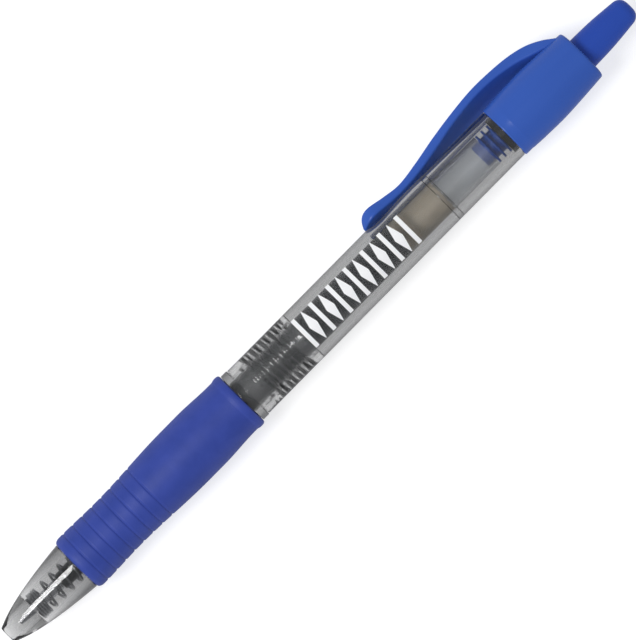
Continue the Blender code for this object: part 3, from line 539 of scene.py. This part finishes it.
along = add(tree, "ShaderNodeMath", {0: there.outputs["X"], 1: given["Start"]}, operation="ADD")
wrap_y = add(tree, "ShaderNodeMath", {0: radius.outputs[0], 1: cosine.outputs[0]}, operation="MULTIPLY")
wrap_z = add(tree, "ShaderNodeMath", {0: radius.outputs[0], 1: sine.outputs[0]}, operation="MULTIPLY")
wrapped = add(tree, "ShaderNodeCombineXYZ", {
    "X": along.outputs[0], "Y": wrap_y.outputs[0], "Z": wrap_z.outputs[0],
})
bent = add(tree, "GeometryNodeSetPosition", {"Geometry": flat.outputs[0], "Position": wrapped.outputs[0]})
inked = add(tree, "GeometryNodeSetMaterial", {"Geometry": bent.outputs[0], "Material": given["Material"]})
add(tree, "NodeGroupOutput", {0: inked.outputs[0]})


def white_print_ink():
    """Pad printing ink: opaque white, satin, slightly uneven where the film is thin."""
    material, tree, place = start_material("white_pad_print_ink")
    film = add(tree, "ShaderNodeTexNoise", {
        "Vector": place, "Scale": pattern_scale(INK_GRAIN), "Detail": 2.0,
    })
    tone = add(tree, "ShaderNodeMix", {
        "Factor": film.outputs["Fac"], 6: linear("#F1F2F2"), 7: linear("#FFFFFF"),
    }, data_type="RGBA")
    rough = add(tree, "ShaderNodeMapRange", {"Value": film.outputs["Fac"], "To Min": 0.4, "To Max": 0.55})
    ink = add(tree, "ShaderNodeBsdfPrincipled", {
        "Base Color": tone.outputs[2], "Roughness": rough.outputs["Result"], "IOR": 1.5,
    })
    add(tree, "ShaderNodeOutputMaterial", {"Surface": ink.outputs["BSDF"]})
    return material


print_ink = white_print_ink()
band = grown("barrel_print", tree, print_sizes, print_ink)
fit(band, print_ink, "barrel_body", "smoky_clear_plastic")


# Collar and clip
# One moulding in blue polypropylene, pressed over the barrel's spigot. The clip springs out of the back
# of the collar, arches over it and comes down to the barrel, where its end is thickened to a bulb.
COLLAR_START = BARREL_SHOULDER + 0.1
CLIP_START, COLLAR_END = span("clip_cap")
COLLAR_BORE_RADIUS = SPIGOT_RADIUS + 0.1
COLLAR_FLOOR = COLLAR_END - 4.1
COLLAR_FRONT_RADIUS = 4.97
BUTTON_HOLE_RADIUS = 3.08
COLLAR_REAR_RADIUS = 4.82
CLIP_WIDTH = 6.5
CLIP_NECK_WIDTH = 3.5
CLIP_BULB_WIDTH = 5.2
CLIP_APEX_RADIUS = BARREL_RADIUS + 3.51
CLIP_THICKNESS = 1.46
CLIP_NECK_THICKNESS = 1.37
CLIP_BULB_THICKNESS = 1.96
CLIP_ROUND = 0.48
CLIP_GAP = 0.1  # between the clip and the barrel
FLOW_STREAK_LENGTH = 50.0
FLOW_STREAK_WIDTH = 3.125
SCUFF_WIDTH = 1.667


def smooth_line(points, steps):
    """A Catmull-Rom curve through points of any number of values."""
    padded = [points[0], *points, points[-1]]
    line = []
    for a, b, c, d in zip(padded, padded[1:], padded[2:], padded[3:]):
        for k in range(steps):
            t = k / steps
            line.append([
                q + 0.5 * t * (r - p + t * (2 * p - 5 * q + 4 * r - s + t * (3 * (q - r) + s - p)))
                for p, q, r, s in zip(a, b, c, d)
            ])
    line.append(list(points[-1]))
    return line


collar_flank = smooth_line(
    ((COLLAR_START + 1.75, 5.03), (COLLAR_START + 4.5, 5.18), (COLLAR_START + 8.5, 5.27),
     (COLLAR_START + 12.6, 5.1), (COLLAR_END - 0.9, COLLAR_REAR_RADIUS)), 8
)
collar_outline = [
    (COLLAR_START, 0.0),
    (COLLAR_START, COLLAR_FRONT_RADIUS, 0.3),
    (COLLAR_START + 1.6, COLLAR_FRONT_RADIUS + 0.01),
    *collar_flank,
    (COLLAR_END, COLLAR_REAR_RADIUS - 0.05, 0.9),
    (COLLAR_END, 0.0),
]
collar = turned("collar_clip", rounded(collar_outline))

under = BARREL_RADIUS + CLIP_GAP
bulb = under + CLIP_BULB_THICKNESS
neck = under + CLIP_NECK_THICKNESS
arch = CLIP_APEX_RADIUS - CLIP_THICKNESS
rise = CLIP_APEX_RADIUS - neck
lift = arch - under
spread = CLIP_WIDTH - CLIP_NECK_WIDTH
fall = CLIP_APEX_RADIUS - COLLAR_REAR_RADIUS
clip_line = (  # distance from the collar's front edge, outer radius, inner radius, width
    (CLIP_START - COLLAR_START, under + 0.26 * CLIP_BULB_THICKNESS, under + 0.05, 0.4 * CLIP_BULB_WIDTH),
    (-26.3, under + 0.73 * CLIP_BULB_THICKNESS, under, 0.64 * CLIP_BULB_WIDTH),
    (-25.3, bulb, under, 0.88 * CLIP_BULB_WIDTH),
    (-23.8, bulb, under, CLIP_BULB_WIDTH),
    (-21.0, (bulb + neck) / 2, under, (CLIP_BULB_WIDTH + 2 * CLIP_NECK_WIDTH) / 3),
    (-17.7, neck, under, CLIP_NECK_WIDTH),
    (-13.5, neck + 0.23 * rise, under + 0.12 * lift, CLIP_NECK_WIDTH + 0.17 * spread),
    (-9.0, neck + 0.62 * rise, under + 0.49 * lift, CLIP_NECK_WIDTH + 0.33 * spread),
    (-4.5, neck + 0.84 * rise, under + 0.82 * lift, CLIP_NECK_WIDTH + 0.7 * spread),
    (0.7, CLIP_APEX_RADIUS, arch, CLIP_WIDTH),
    (5.0, CLIP_APEX_RADIUS - 0.02 * fall, arch - 0.05 * fall, CLIP_WIDTH),
    (9.1, CLIP_APEX_RADIUS - 0.15 * fall, arch - 0.29 * fall, CLIP_WIDTH),
    (12.3, CLIP_APEX_RADIUS - 0.41 * fall, arch - 0.63 * fall, CLIP_WIDTH),
    (14.8, CLIP_APEX_RADIUS - 0.82 * fall, arch - 0.87 * fall, CLIP_WIDTH),
    (16.3, CLIP_APEX_RADIUS - 1.2 * fall, arch - 0.93 * fall, 0.98 * CLIP_WIDTH),
    (16.8, CLIP_APEX_RADIUS - 1.33 * fall, arch - 0.96 * fall, 0.93 * CLIP_WIDTH),
)
bm = bmesh.new()
sections = []
for x, outer, inner, width in smooth_line(clip_line, 8):
    corners = []
    for radius, side in ((outer, 1), (inner, 1), (inner, -1), (outer, -1)):
        corners.append((radius, side * width / 2, min(CLIP_ROUND, (outer - inner) / 2.2)))
    sections.append([
        bm.verts.new((COLLAR_START + x, radius, side)) for radius, side in rounded(corners, 6)
    ])
for first, second in zip(sections, sections[1:]):
    for k in range(len(first)):
        after = (k + 1) % len(first)
        bm.faces.new((first[k], first[after], second[after], second[k]))
bm.faces.new(sections[0])
bm.faces.new(sections[-1])
clip = to_object("clip_strip", bm)
bores = turned("collar_bores", rounded((
    (COLLAR_START - 1.0, 0.0),
    (COLLAR_START - 1.0, COLLAR_BORE_RADIUS),
    (COLLAR_FLOOR, COLLAR_BORE_RADIUS, 0.2),
    (COLLAR_FLOOR, BUTTON_HOLE_RADIUS, 0.1),
    (COLLAR_END - 0.15, BUTTON_HOLE_RADIUS, 0.1),
    (COLLAR_END + 0.15, BUTTON_HOLE_RADIUS + 0.3),
    (COLLAR_END + 0.15, 0.0),
)))


def combine(item, operation, tool):
    """Join a tool to a piece, or cut the piece with it, and drop the tool."""
    modifier = item.modifiers.new(operation.lower(), "BOOLEAN")
    modifier.operation = operation
    modifier.object = tool
    result = item.evaluated_get(bpy.context.evaluated_depsgraph_get())
    mesh = bpy.data.meshes.new_from_object(result)
    item.modifiers.remove(modifier)
    item.data = mesh
    mesh.name = item.name
    mesh.set_sharp_from_angle(angle=math.radians(30))
    bpy.data.objects.remove(tool, do_unlink=True)


def blue_polypropylene(name, colour, deep_colour):
    """Glossy moulded polypropylene: waxy blue, with flow streaks along the pen and fine scuffs."""
    material, tree, place = start_material(name)
    across = pattern_scale(FLOW_STREAK_WIDTH)
    drawn_out = add(tree, "ShaderNodeMapping", {
        "Vector": place, "Scale": (pattern_scale(FLOW_STREAK_LENGTH), across, across),
    })
    flow = add(tree, "ShaderNodeTexNoise", {"Vector": drawn_out.outputs[0], "Scale": 1.0, "Detail": 3.0})
    tone = add(tree, "ShaderNodeMix", {
        "Factor": flow.outputs["Fac"], 6: linear(colour), 7: linear(deep_colour),
    }, data_type="RGBA")
    scuffs = add(tree, "ShaderNodeTexNoise", {
        "Vector": place, "Scale": pattern_scale(SCUFF_WIDTH), "Detail": 3.0,
    })
    rough = add(tree, "ShaderNodeMapRange", {
        "Value": scuffs.outputs["Fac"], "From Min": 0.3, "From Max": 0.7, "To Min": 0.16, "To Max": 0.26,
    })
    bump = add(tree, "ShaderNodeBump", {
        "Height": scuffs.outputs["Fac"], "Strength": 0.05, "Distance": 0.00002,
    })
    plastic = add(tree, "ShaderNodeBsdfPrincipled", {
        "Base Color": tone.outputs[2],
        "Roughness": rough.outputs["Result"],
        "IOR": 1.49,
        "Specular IOR Level": 0.2,
        "Normal": bump.outputs["Normal"],
    })
    add(tree, "ShaderNodeOutputMaterial", {"Surface": plastic.outputs["BSDF"]})
    return material


combine(collar, "UNION", clip)
combine(collar, "DIFFERENCE", bores)
collar_blue = blue_polypropylene("blue_polypropylene", "#3C62BC", "#3459B2")
fit(collar, collar_blue, "barrel_body", "blue_plastic", "clip_cap")


# Push button
# A blue polypropylene cap, tapered and crowned, pressed on to the plunger's stem.
BUTTON_START, BUTTON_END = span("knock_button")
BUTTON_RADIUS = 2.93
BUTTON_END_RADIUS = 2.38
SOCKET_RADIUS = 2.1
SOCKET_DEPTH = 6.8
button_line = smooth_line(
    ((COLLAR_END - 0.1, BUTTON_RADIUS), (COLLAR_END + 4.6, 2.79), (BUTTON_END - 1.6, BUTTON_END_RADIUS)), 8
)
button_crown = bezier((
    (BUTTON_END - 1.6, BUTTON_END_RADIUS), (BUTTON_END - 0.75, BUTTON_END_RADIUS - 0.07),
    (BUTTON_END, 1.7), (BUTTON_END, 0.75),
), 14)[1:]
button_outline = [
    (BUTTON_START + SOCKET_DEPTH, 0.0),
    (BUTTON_START + SOCKET_DEPTH, SOCKET_RADIUS),
    (BUTTON_START, SOCKET_RADIUS, 0.1),
    (BUTTON_START, BUTTON_RADIUS, 0.2),
    *button_line,
    *button_crown,
    (BUTTON_END, 0.0),
]
button = turned("button_cap", rounded(button_outline))
button_blue = blue_polypropylene("blue_polypropylene_button", "#2F52B5", "#2849A8")
fit(button, button_blue, "button_body", "blue_plastic", "knock_button")


# Cam
# The plunger, the rotor and the sleeve that they click round in are acetal mouldings inside the collar.
# Only the rotor's ringed nozzle, which plugs the refill, and the sleeve's mouth show in the barrel.
# The sleeve is painted near-black: painted shade for the shadow in the barrel's mouth under the collar's lip.
NOZZLE_START, FINS_END = span("cam_rotor")
NOZZLE_RADIUS = 2.1
ROTOR_RINGS_START = span("refill_tube")[1] + 0.1
ROTOR_RING_RADIUS = 2.9
ROTOR_RING_WIDTH = 0.4
ROTOR_RING_PITCH = 1.2
ROTOR_RING_COUNT = 3
FIN_START = ROTOR_RINGS_START + 4.1
FIN_SIZE = (4.5, 1.2, 0.5)  # along the pen, outwards, round the axis
FIN_COUNT = 4
FIN_TURN = math.radians(11.0)
ROTOR_BODY_RADIUS = 2.25
CROWN_END = FINS_END - 0.8
TOOTH_COUNT = 8
TOOTH_HEIGHT = 0.8
PILOT_BORE_RADIUS = 1.2
PILOT_BORE_DEPTH = 1.7
ACETAL_GRAIN = 0.4
rotor_outline = [(NOZZLE_START, 0.0), (NOZZLE_START, NOZZLE_RADIUS, 0.2)]
for k in range(ROTOR_RING_COUNT):
    ring_start = ROTOR_RINGS_START + k * ROTOR_RING_PITCH
    ring_end = ring_start + ROTOR_RING_WIDTH
    rotor_outline += [(ring_start, NOZZLE_RADIUS), (ring_start, ROTOR_RING_RADIUS, 0.1)]
    rotor_outline += [(ring_end, ROTOR_RING_RADIUS, 0.1), (ring_end, NOZZLE_RADIUS)]
rotor_outline += [
    (FIN_START - 0.2, NOZZLE_RADIUS),
    (FIN_START, ROTOR_BODY_RADIUS),
    (CROWN_END, ROTOR_BODY_RADIUS),
    (CROWN_END, PILOT_BORE_RADIUS),
    (CROWN_END - PILOT_BORE_DEPTH, PILOT_BORE_RADIUS),
    (CROWN_END - PILOT_BORE_DEPTH, 0.0),
]


def crown_teeth(x, radius, angle):
    """Lift the rotor's rear face into its ring of slanted teeth."""
    if x < CROWN_END:
        return x, radius
    return x + TOOTH_HEIGHT * abs((angle * TOOTH_COUNT / math.tau) % 1.0 * 2.0 - 1.0), radius


rotor = turned("rotor_nozzle", rounded(rotor_outline), 96, crown_teeth)
bm = bmesh.new()
for k in range(FIN_COUNT):
    fin = bmesh.ops.create_cube(bm, size=1.0)["verts"]
    reach = Matrix.Diagonal((*FIN_SIZE, 1.0))
    middle = Matrix.Translation((FIN_START + 0.1 + FIN_SIZE[0] / 2, ROTOR_BODY_RADIUS + 0.1, 0.0))
    about = Matrix.Rotation(math.tau * k / FIN_COUNT - FIN_TURN, 4, "X")
    bmesh.ops.transform(bm, matrix=about @ middle @ reach, verts=fin)
fins = to_object("rotor_fins", bm)
combine(rotor, "UNION", fins)


def acetal(name, colour):
    """Moulded acetal: a dense, slippery plastic with a satin skin and a fine moulded grain."""
    material, tree, place = start_material(name)
    grain = add(tree, "ShaderNodeTexNoise", {
        "Vector": place, "Scale": pattern_scale(ACETAL_GRAIN), "Detail": 3.0,
    })
    rough = add(tree, "ShaderNodeMapRange", {"Value": grain.outputs["Fac"], "To Min": 0.25, "To Max": 0.45})
    bump = add(tree, "ShaderNodeBump", {
        "Height": grain.outputs["Fac"], "Strength": 0.15, "Distance": 0.00003,
    })
    plastic = add(tree, "ShaderNodeBsdfPrincipled", {
        "Base Color": linear(colour), "Roughness": rough.outputs["Result"], "IOR": 1.48,
        "Normal": bump.outputs["Normal"],
    })
    add(tree, "ShaderNodeOutputMaterial", {"Surface": plastic.outputs["BSDF"]})
    return material


blue_acetal = acetal("blue_acetal", "#184CA6")
fit(rotor, blue_acetal, "rotor_body", "blue_plastic", "cam_rotor")
# The sleeve's near-black colour is painted shade, standing for the shadow under the collar's lip.
for node, finish in (("push_cam", blue_acetal), ("cam_sleeve", acetal("painted_shade_acetal", "#14181C"))):
    frame["nodes"][node].data.materials.clear()
    frame["nodes"][node].data.materials.append(finish)


# Refill
# A polypropylene tube filled with black gel ink, with a plug of tan grease behind it that follows the
# ink down. A black holder plugs its front and carries the steel tip and its carbide ball.
TUBE_START, TUBE_END = span("refill_tube")
TUBE_RADIUS = 3.0
TUBE_BORE_RADIUS = 2.4
FILL_RADIUS = TUBE_BORE_RADIUS + 0.02  # wets the tube's wall
MENISCUS = 0.3
DRAW_LINE_LENGTH = 25.0
DRAW_LINE_WIDTH = 0.5
STREAK_WIDTH = 2.86
HOLDER_START, PLUG_END = span("tip_holder")
HOLDER_SHOULDER = TUBE_START - 1.0
TIP_START, TIP_END = span("tip_body")
TIP_CONE_END = TIP_START + 4.65
BALL_RADIUS = 0.35
BALL_CENTRE = span("writing_ball")[0] + BALL_RADIUS
BALL_STEPS = 24


def milky_tube_plastic():
    """Extruded polypropylene tube: clear with a milky haze that softens what is behind it."""
    material, tree, place = start_material("milky_polypropylene_tube")
    across = pattern_scale(DRAW_LINE_WIDTH)
    draw_lines = add(tree, "ShaderNodeMapping", {
        "Vector": place, "Scale": (pattern_scale(DRAW_LINE_LENGTH), across, across),
    })
    lines = add(tree, "ShaderNodeTexNoise", {"Vector": draw_lines.outputs[0], "Scale": 1.0, "Detail": 2.0})
    haze = add(tree, "ShaderNodeMapRange", {"Value": lines.outputs["Fac"], "To Min": 0.1, "To Max": 0.3})
    plastic = add(tree, "ShaderNodeBsdfPrincipled", {
        "Base Color": linear("#F0F2F4"),
        "Roughness": haze.outputs["Result"],
        "IOR": 1.49,
        "Transmission Weight": 0.9,
    })
    lamps = add(tree, "ShaderNodeBsdfTransparent", {"Color": linear("#F4F6F8")})
    path = add(tree, "ShaderNodeLightPath")
    mix = add(tree, "ShaderNodeMixShader", {
        0: path.outputs["Is Shadow Ray"], 1: plastic.outputs["BSDF"], 2: lamps.outputs["BSDF"],
    })
    add(tree, "ShaderNodeOutputMaterial", {"Surface": mix.outputs["Shader"]})
    return material


def cloudy_fluid(name, colour, streak_colour, roughness):
    """A thick fluid seen through its tube: wet, with slow streaks of a second tone."""
    material, tree, place = start_material(name)
    streaks = add(tree, "ShaderNodeTexNoise", {
        "Vector": place, "Scale": pattern_scale(STREAK_WIDTH), "Detail": 3.0,
    })
    tone = add(tree, "ShaderNodeMix", {
        "Factor": streaks.outputs["Fac"], 6: linear(colour), 7: linear(streak_colour),
    }, data_type="RGBA")
    fluid = add(tree, "ShaderNodeBsdfPrincipled", {
        "Base Color": tone.outputs[2], "Roughness": roughness, "IOR": 1.38,
    })
    add(tree, "ShaderNodeOutputMaterial", {"Surface": fluid.outputs["BSDF"]})
    return material


tube = turned("refill_tube_clear", rounded((
    (TUBE_START, TUBE_RADIUS, 0.1), (TUBE_END, TUBE_RADIUS, 0.1),
    (TUBE_END, TUBE_BORE_RADIUS, 0.1), (TUBE_START, TUBE_BORE_RADIUS, 0.1),
)))
fit(tube, milky_tube_plastic(), "refill_body", "milky_clear_tube", "refill_tube")
black_ink = cloudy_fluid("black_gel_ink", "#0E0F10", "#191B1C", 0.25)
tan_grease = cloudy_fluid("tan_follower_grease", "#C4B49A", "#CFC1AA", 0.3)
fillings = (("gel_ink", "black_gel_ink", black_ink), ("grease_follower", "tan_grease", tan_grease))
for node, slot, finish in fillings:
    start, end = span(node)
    line = [(start, 0.0), (start, FILL_RADIUS, 0.05), (end, FILL_RADIUS)]
    line += bezier(((end, FILL_RADIUS), (end - MENISCUS, FILL_RADIUS * 0.8), (end - MENISCUS, 0.4)), 8)[1:]
    line.append((end - MENISCUS, 0.0))
    column = turned(node + "_column", rounded(line), 96)
    fit(column, finish, "refill_body", slot, node)

holder = turned("tip_holder_black", rounded((
    (HOLDER_START, 1.45, 0.1),
    (HOLDER_START + 3.9, 1.58, 0.05),
    (HOLDER_START + 3.9, 1.75, 0.05),
    (HOLDER_SHOULDER, 1.95),
    (HOLDER_SHOULDER, 2.95, 0.1),
    (TUBE_START - 0.1, 2.95, 0.1),
    (TUBE_START - 0.1, 2.3),
    (PLUG_END, 2.3, 0.15),
    (PLUG_END, 0.6),
    (HOLDER_START + 3.1, 0.6),
    (HOLDER_START + 3.1, 0.95),
    (HOLDER_START, 0.95),
)), 96)
fit(holder, acetal("black_acetal", "#17191A"), "refill_body", "black_plastic", "tip_holder")


def turned_metal(name, colour, roughness, line_spacing):
    """Metal from a lathe or a die: bright, with fine rings that the tool leaves."""
    material, tree, place = start_material(name)
    parts = add(tree, "ShaderNodeSeparateXYZ", {0: place})
    ringed = add(tree, "ShaderNodeCombineXYZ", {"X": parts.outputs["X"]})
    rings = add(tree, "ShaderNodeTexNoise", {
        "Vector": ringed.outputs[0], "Scale": pattern_scale(line_spacing), "Detail": 2.0,
    })
    rough = add(tree, "ShaderNodeMapRange", {
        "Value": rings.outputs["Fac"], "To Min": roughness * 0.6, "To Max": roughness * 1.4,
    })
    bump = add(tree, "ShaderNodeBump", {
        "Height": rings.outputs["Fac"], "Strength": 0.2, "Distance": 0.00001,
    })
    metal = add(tree, "ShaderNodeBsdfPrincipled", {
        "Base Color": linear(colour), "Metallic": 1.0, "Roughness": rough.outputs["Result"],
        "Normal": bump.outputs["Normal"],
    })
    add(tree, "ShaderNodeOutputMaterial", {"Surface": metal.outputs["BSDF"]})
    return material


tip = turned("tip_steel", rounded((
    (TIP_START, 0.42, 0.02),
    (TIP_START + 0.5, 0.5),
    (TIP_CONE_END - 0.2, 1.02, 0.1),
    (TIP_CONE_END, 1.1, 0.1),
    (HOLDER_START - 0.1, 1.1, 0.05),
    (HOLDER_START - 0.1, 0.85),
    (TIP_END, 0.85, 0.05),
    (TIP_END, 0.3),
    (BALL_CENTRE + 0.4, 0.3),
    (BALL_CENTRE + 0.4, 0.4),
    (BALL_CENTRE - 0.05, 0.4),
    (TIP_START, 0.33),
)), 96)
tip_steel = turned_metal("turned_stainless_steel", "#B9BABC", 0.25, 0.05)
fit(tip, tip_steel, "refill_body", "stainless_steel", "tip_body")

ball_line = [(BALL_CENTRE - BALL_RADIUS, 0.0)]
for k in range(1, BALL_STEPS):
    turn = math.pi * k / BALL_STEPS
    ball_line.append((BALL_CENTRE - BALL_RADIUS * math.cos(turn), BALL_RADIUS * math.sin(turn)))
ball_line.append((BALL_CENTRE + BALL_RADIUS, 0.0))
ball = turned("carbide_ball", ball_line, 48)
carbide = turned_metal("polished_tungsten_carbide", "#8E8F92", 0.1, 0.02)
fit(ball, carbide, "ball_body", "carbide", "writing_ball")


# Return spring
# A compression spring wound from 0.45 mm stainless wire, with closed coils at both ends. It sits round the
# tip's holder, between the seat in the nose and the holder's shoulder, and shortens as the button goes in.
WIRE_RADIUS = 0.225
COIL_RADIUS = 2.27
CLOSED_PITCH = 0.48
FRONT_TURNS = 4
ACTIVE_TURNS = 7
REAR_TURNS = 2
spring_start, spring_end = span("return_spring")
closed_length = (FRONT_TURNS + REAR_TURNS) * CLOSED_PITCH
wire_length = spring_end - spring_start - 2 * WIRE_RADIUS
spring_sizes = {
    "Start": spring_start + WIRE_RADIUS,
    "Coil Radius": COIL_RADIUS,
    "Wire Radius": WIRE_RADIUS,
    "Closed Pitch": CLOSED_PITCH,
    "Active Pitch": (wire_length - closed_length) / ACTIVE_TURNS,
    "Front Turns": FRONT_TURNS,
    "Active Turns": ACTIVE_TURNS,
    "Rear Turns": REAR_TURNS,
    "Steps per Turn": 48,
}
tree, given = modifier_tree("coil_spring", spring_sizes)
front_and_active = add(tree, "ShaderNodeMath", {
    0: given["Front Turns"], 1: given["Active Turns"],
}, operation="ADD")
turns = add(tree, "ShaderNodeMath", {0: front_and_active.outputs[0], 1: given["Rear Turns"]}, operation="ADD")
count = add(tree, "ShaderNodeMath", {
    0: turns.outputs[0], 1: given["Steps per Turn"], 2: 1.0,
}, operation="MULTIPLY_ADD")
wire = add(tree, "GeometryNodeResampleCurve", {
    "Curve": add(tree, "GeometryNodeCurvePrimitiveLine").outputs[0], "Count": count.outputs[0],
})
turn_number = add(tree, "ShaderNodeMath", {
    0: add(tree, "GeometryNodeInputIndex").outputs[0], 1: given["Steps per Turn"],
}, operation="DIVIDE")
in_front = add(tree, "ShaderNodeMath", {
    0: turn_number.outputs[0], 1: given["Front Turns"],
}, operation="MINIMUM")
to_rear = add(tree, "ShaderNodeMath", {
    0: turn_number.outputs[0], 1: front_and_active.outputs[0],
}, operation="MINIMUM")
active = add(tree, "ShaderNodeMath", {0: to_rear.outputs[0], 1: in_front.outputs[0]}, operation="SUBTRACT")
closed = add(tree, "ShaderNodeMath", {0: turn_number.outputs[0], 1: active.outputs[0]}, operation="SUBTRACT")
closed_part = add(tree, "ShaderNodeMath", {
    0: closed.outputs[0], 1: given["Closed Pitch"], 2: given["Start"],
}, operation="MULTIPLY_ADD")
wire_x = add(tree, "ShaderNodeMath", {
    0: active.outputs[0], 1: given["Active Pitch"], 2: closed_part.outputs[0],
}, operation="MULTIPLY_ADD")
angle = add(tree, "ShaderNodeMath", {0: turn_number.outputs[0], 1: -math.tau}, operation="MULTIPLY")
cosine = add(tree, "ShaderNodeMath", {0: angle.outputs[0]}, operation="COSINE")
sine = add(tree, "ShaderNodeMath", {0: angle.outputs[0]}, operation="SINE")
wire_y = add(tree, "ShaderNodeMath", {0: cosine.outputs[0], 1: given["Coil Radius"]}, operation="MULTIPLY")
wire_z = add(tree, "ShaderNodeMath", {0: sine.outputs[0], 1: given["Coil Radius"]}, operation="MULTIPLY")
coiled = add(tree, "ShaderNodeCombineXYZ", {
    "X": wire_x.outputs[0], "Y": wire_y.outputs[0], "Z": wire_z.outputs[0],
})
helix = add(tree, "GeometryNodeSetPosition", {"Geometry": wire.outputs[0], "Position": coiled.outputs[0]})
section = add(tree, "GeometryNodeCurvePrimitiveCircle", {"Resolution": 12, "Radius": given["Wire Radius"]})
skin = add(tree, "GeometryNodeCurveToMesh", {
    "Curve": helix.outputs[0], "Profile Curve": section.outputs[0], "Fill Caps": True,
})
steel = add(tree, "GeometryNodeSetMaterial", {"Geometry": skin.outputs[0], "Material": given["Material"]})
add(tree, "NodeGroupOutput", {0: steel.outputs[0]})
spring_steel = turned_metal("drawn_spring_wire", "#9FA0A2", 0.22, 0.1)
spring = grown("spring_wire", tree, spring_sizes, spring_steel)
fit(spring, spring_steel, "spring_body", "spring_steel", "return_spring")
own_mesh(spring)


# Table, light and camera
# A sheet of pale paper lit from below, an even pale surround, and one softbox that leans over the nose.
# The camera looks straight down at the pen, which runs from the lower left to the upper right.
PAPER_FIBRE = 1.11
PAPER_GLOW = 0.65
SURROUND_STRENGTH = 0.48
SOFTBOX_SIZE = (0.26, 0.19)
SOFTBOX_POWER = 2.1
LAMP_DISTANCE = 0.6
LAMP_LEAN = math.radians(-30)
LAMP_HEADING = math.radians(-22)
VIEW_DISTANCE = 1.1
VIEW_HEIGHT = 0.1028  # the height that the picture covers at the pen's axis
VIEW_TURN = math.radians(-45.34)
middle = axis_place + Vector((0.0710, 0.00016, 0.0))

floor = bpy.data.objects.new("table", bpy.data.meshes.new("table"))
bpy.context.scene.collection.objects.link(floor)
bm = bmesh.new()
bmesh.ops.create_grid(bm, x_segments=8, y_segments=8, size=1.5)
bm.to_mesh(floor.data)
bm.free()
paper, tree, place = start_material("pale_paper")
fibre = add(tree, "ShaderNodeTexNoise", {
    "Vector": place, "Scale": pattern_scale(PAPER_FIBRE), "Detail": 4.0,
})
tone = add(tree, "ShaderNodeMix", {
    "Factor": fibre.outputs["Fac"], 6: linear("#BCBCBD"), 7: linear("#C0C0C0"),
}, data_type="RGBA")
# The paper glows for every ray but a plain mirror image, which would wash out the pen's underside.
path = add(tree, "ShaderNodeLightPath")
mirrored = add(tree, "ShaderNodeMath", {
    0: path.outputs["Is Glossy Ray"], 1: path.outputs["Is Transmission Ray"],
}, operation="SUBTRACT", use_clamp=True)
glow = add(tree, "ShaderNodeMath", {
    0: mirrored.outputs[0], 1: -PAPER_GLOW, 2: PAPER_GLOW,
}, operation="MULTIPLY_ADD")
sheet = add(tree, "ShaderNodeBsdfPrincipled", {
    "Base Color": tone.outputs[2], "Roughness": 0.9,
    "Emission Color": linear("#FFFFFF"), "Emission Strength": glow.outputs[0],
})
add(tree, "ShaderNodeOutputMaterial", {"Surface": sheet.outputs["BSDF"]})
floor.data.materials.append(paper)

world = bpy.data.worlds.new("pale_surround")
world.use_nodes = True
surround = world.node_tree.nodes["Background"]
surround.inputs["Color"].default_value = linear("#F4F6FA")
surround.inputs["Strength"].default_value = SURROUND_STRENGTH
bpy.context.scene.world = world

softbox = bpy.data.lights.new("nose_softbox", "AREA")
softbox.shape = "RECTANGLE"
softbox.size, softbox.size_y = SOFTBOX_SIZE
softbox.energy = SOFTBOX_POWER
lamp = bpy.data.objects.new("nose_softbox", softbox)
aim = Matrix.Rotation(LAMP_HEADING, 4, "Z") @ Matrix.Rotation(LAMP_LEAN, 4, "Y")
lamp.matrix_world = Matrix.Translation(middle) @ aim @ Matrix.Translation((0.0, 0.0, LAMP_DISTANCE))
bpy.context.scene.collection.objects.link(lamp)

camera = bpy.data.cameras.new("camera")
camera.sensor_width = 36.0
camera.lens = camera.sensor_width * VIEW_DISTANCE / VIEW_HEIGHT
camera.clip_start = 0.01
viewer = bpy.data.objects.new("camera", camera)
above = Matrix.Translation(middle + Vector((0, 0, VIEW_DISTANCE)))
viewer.matrix_world = above @ Matrix.Rotation(VIEW_TURN, 4, "Z")
bpy.context.scene.collection.objects.link(viewer)
bpy.context.scene.camera = viewer
bpy.context.scene.view_settings.view_transform = "Standard"
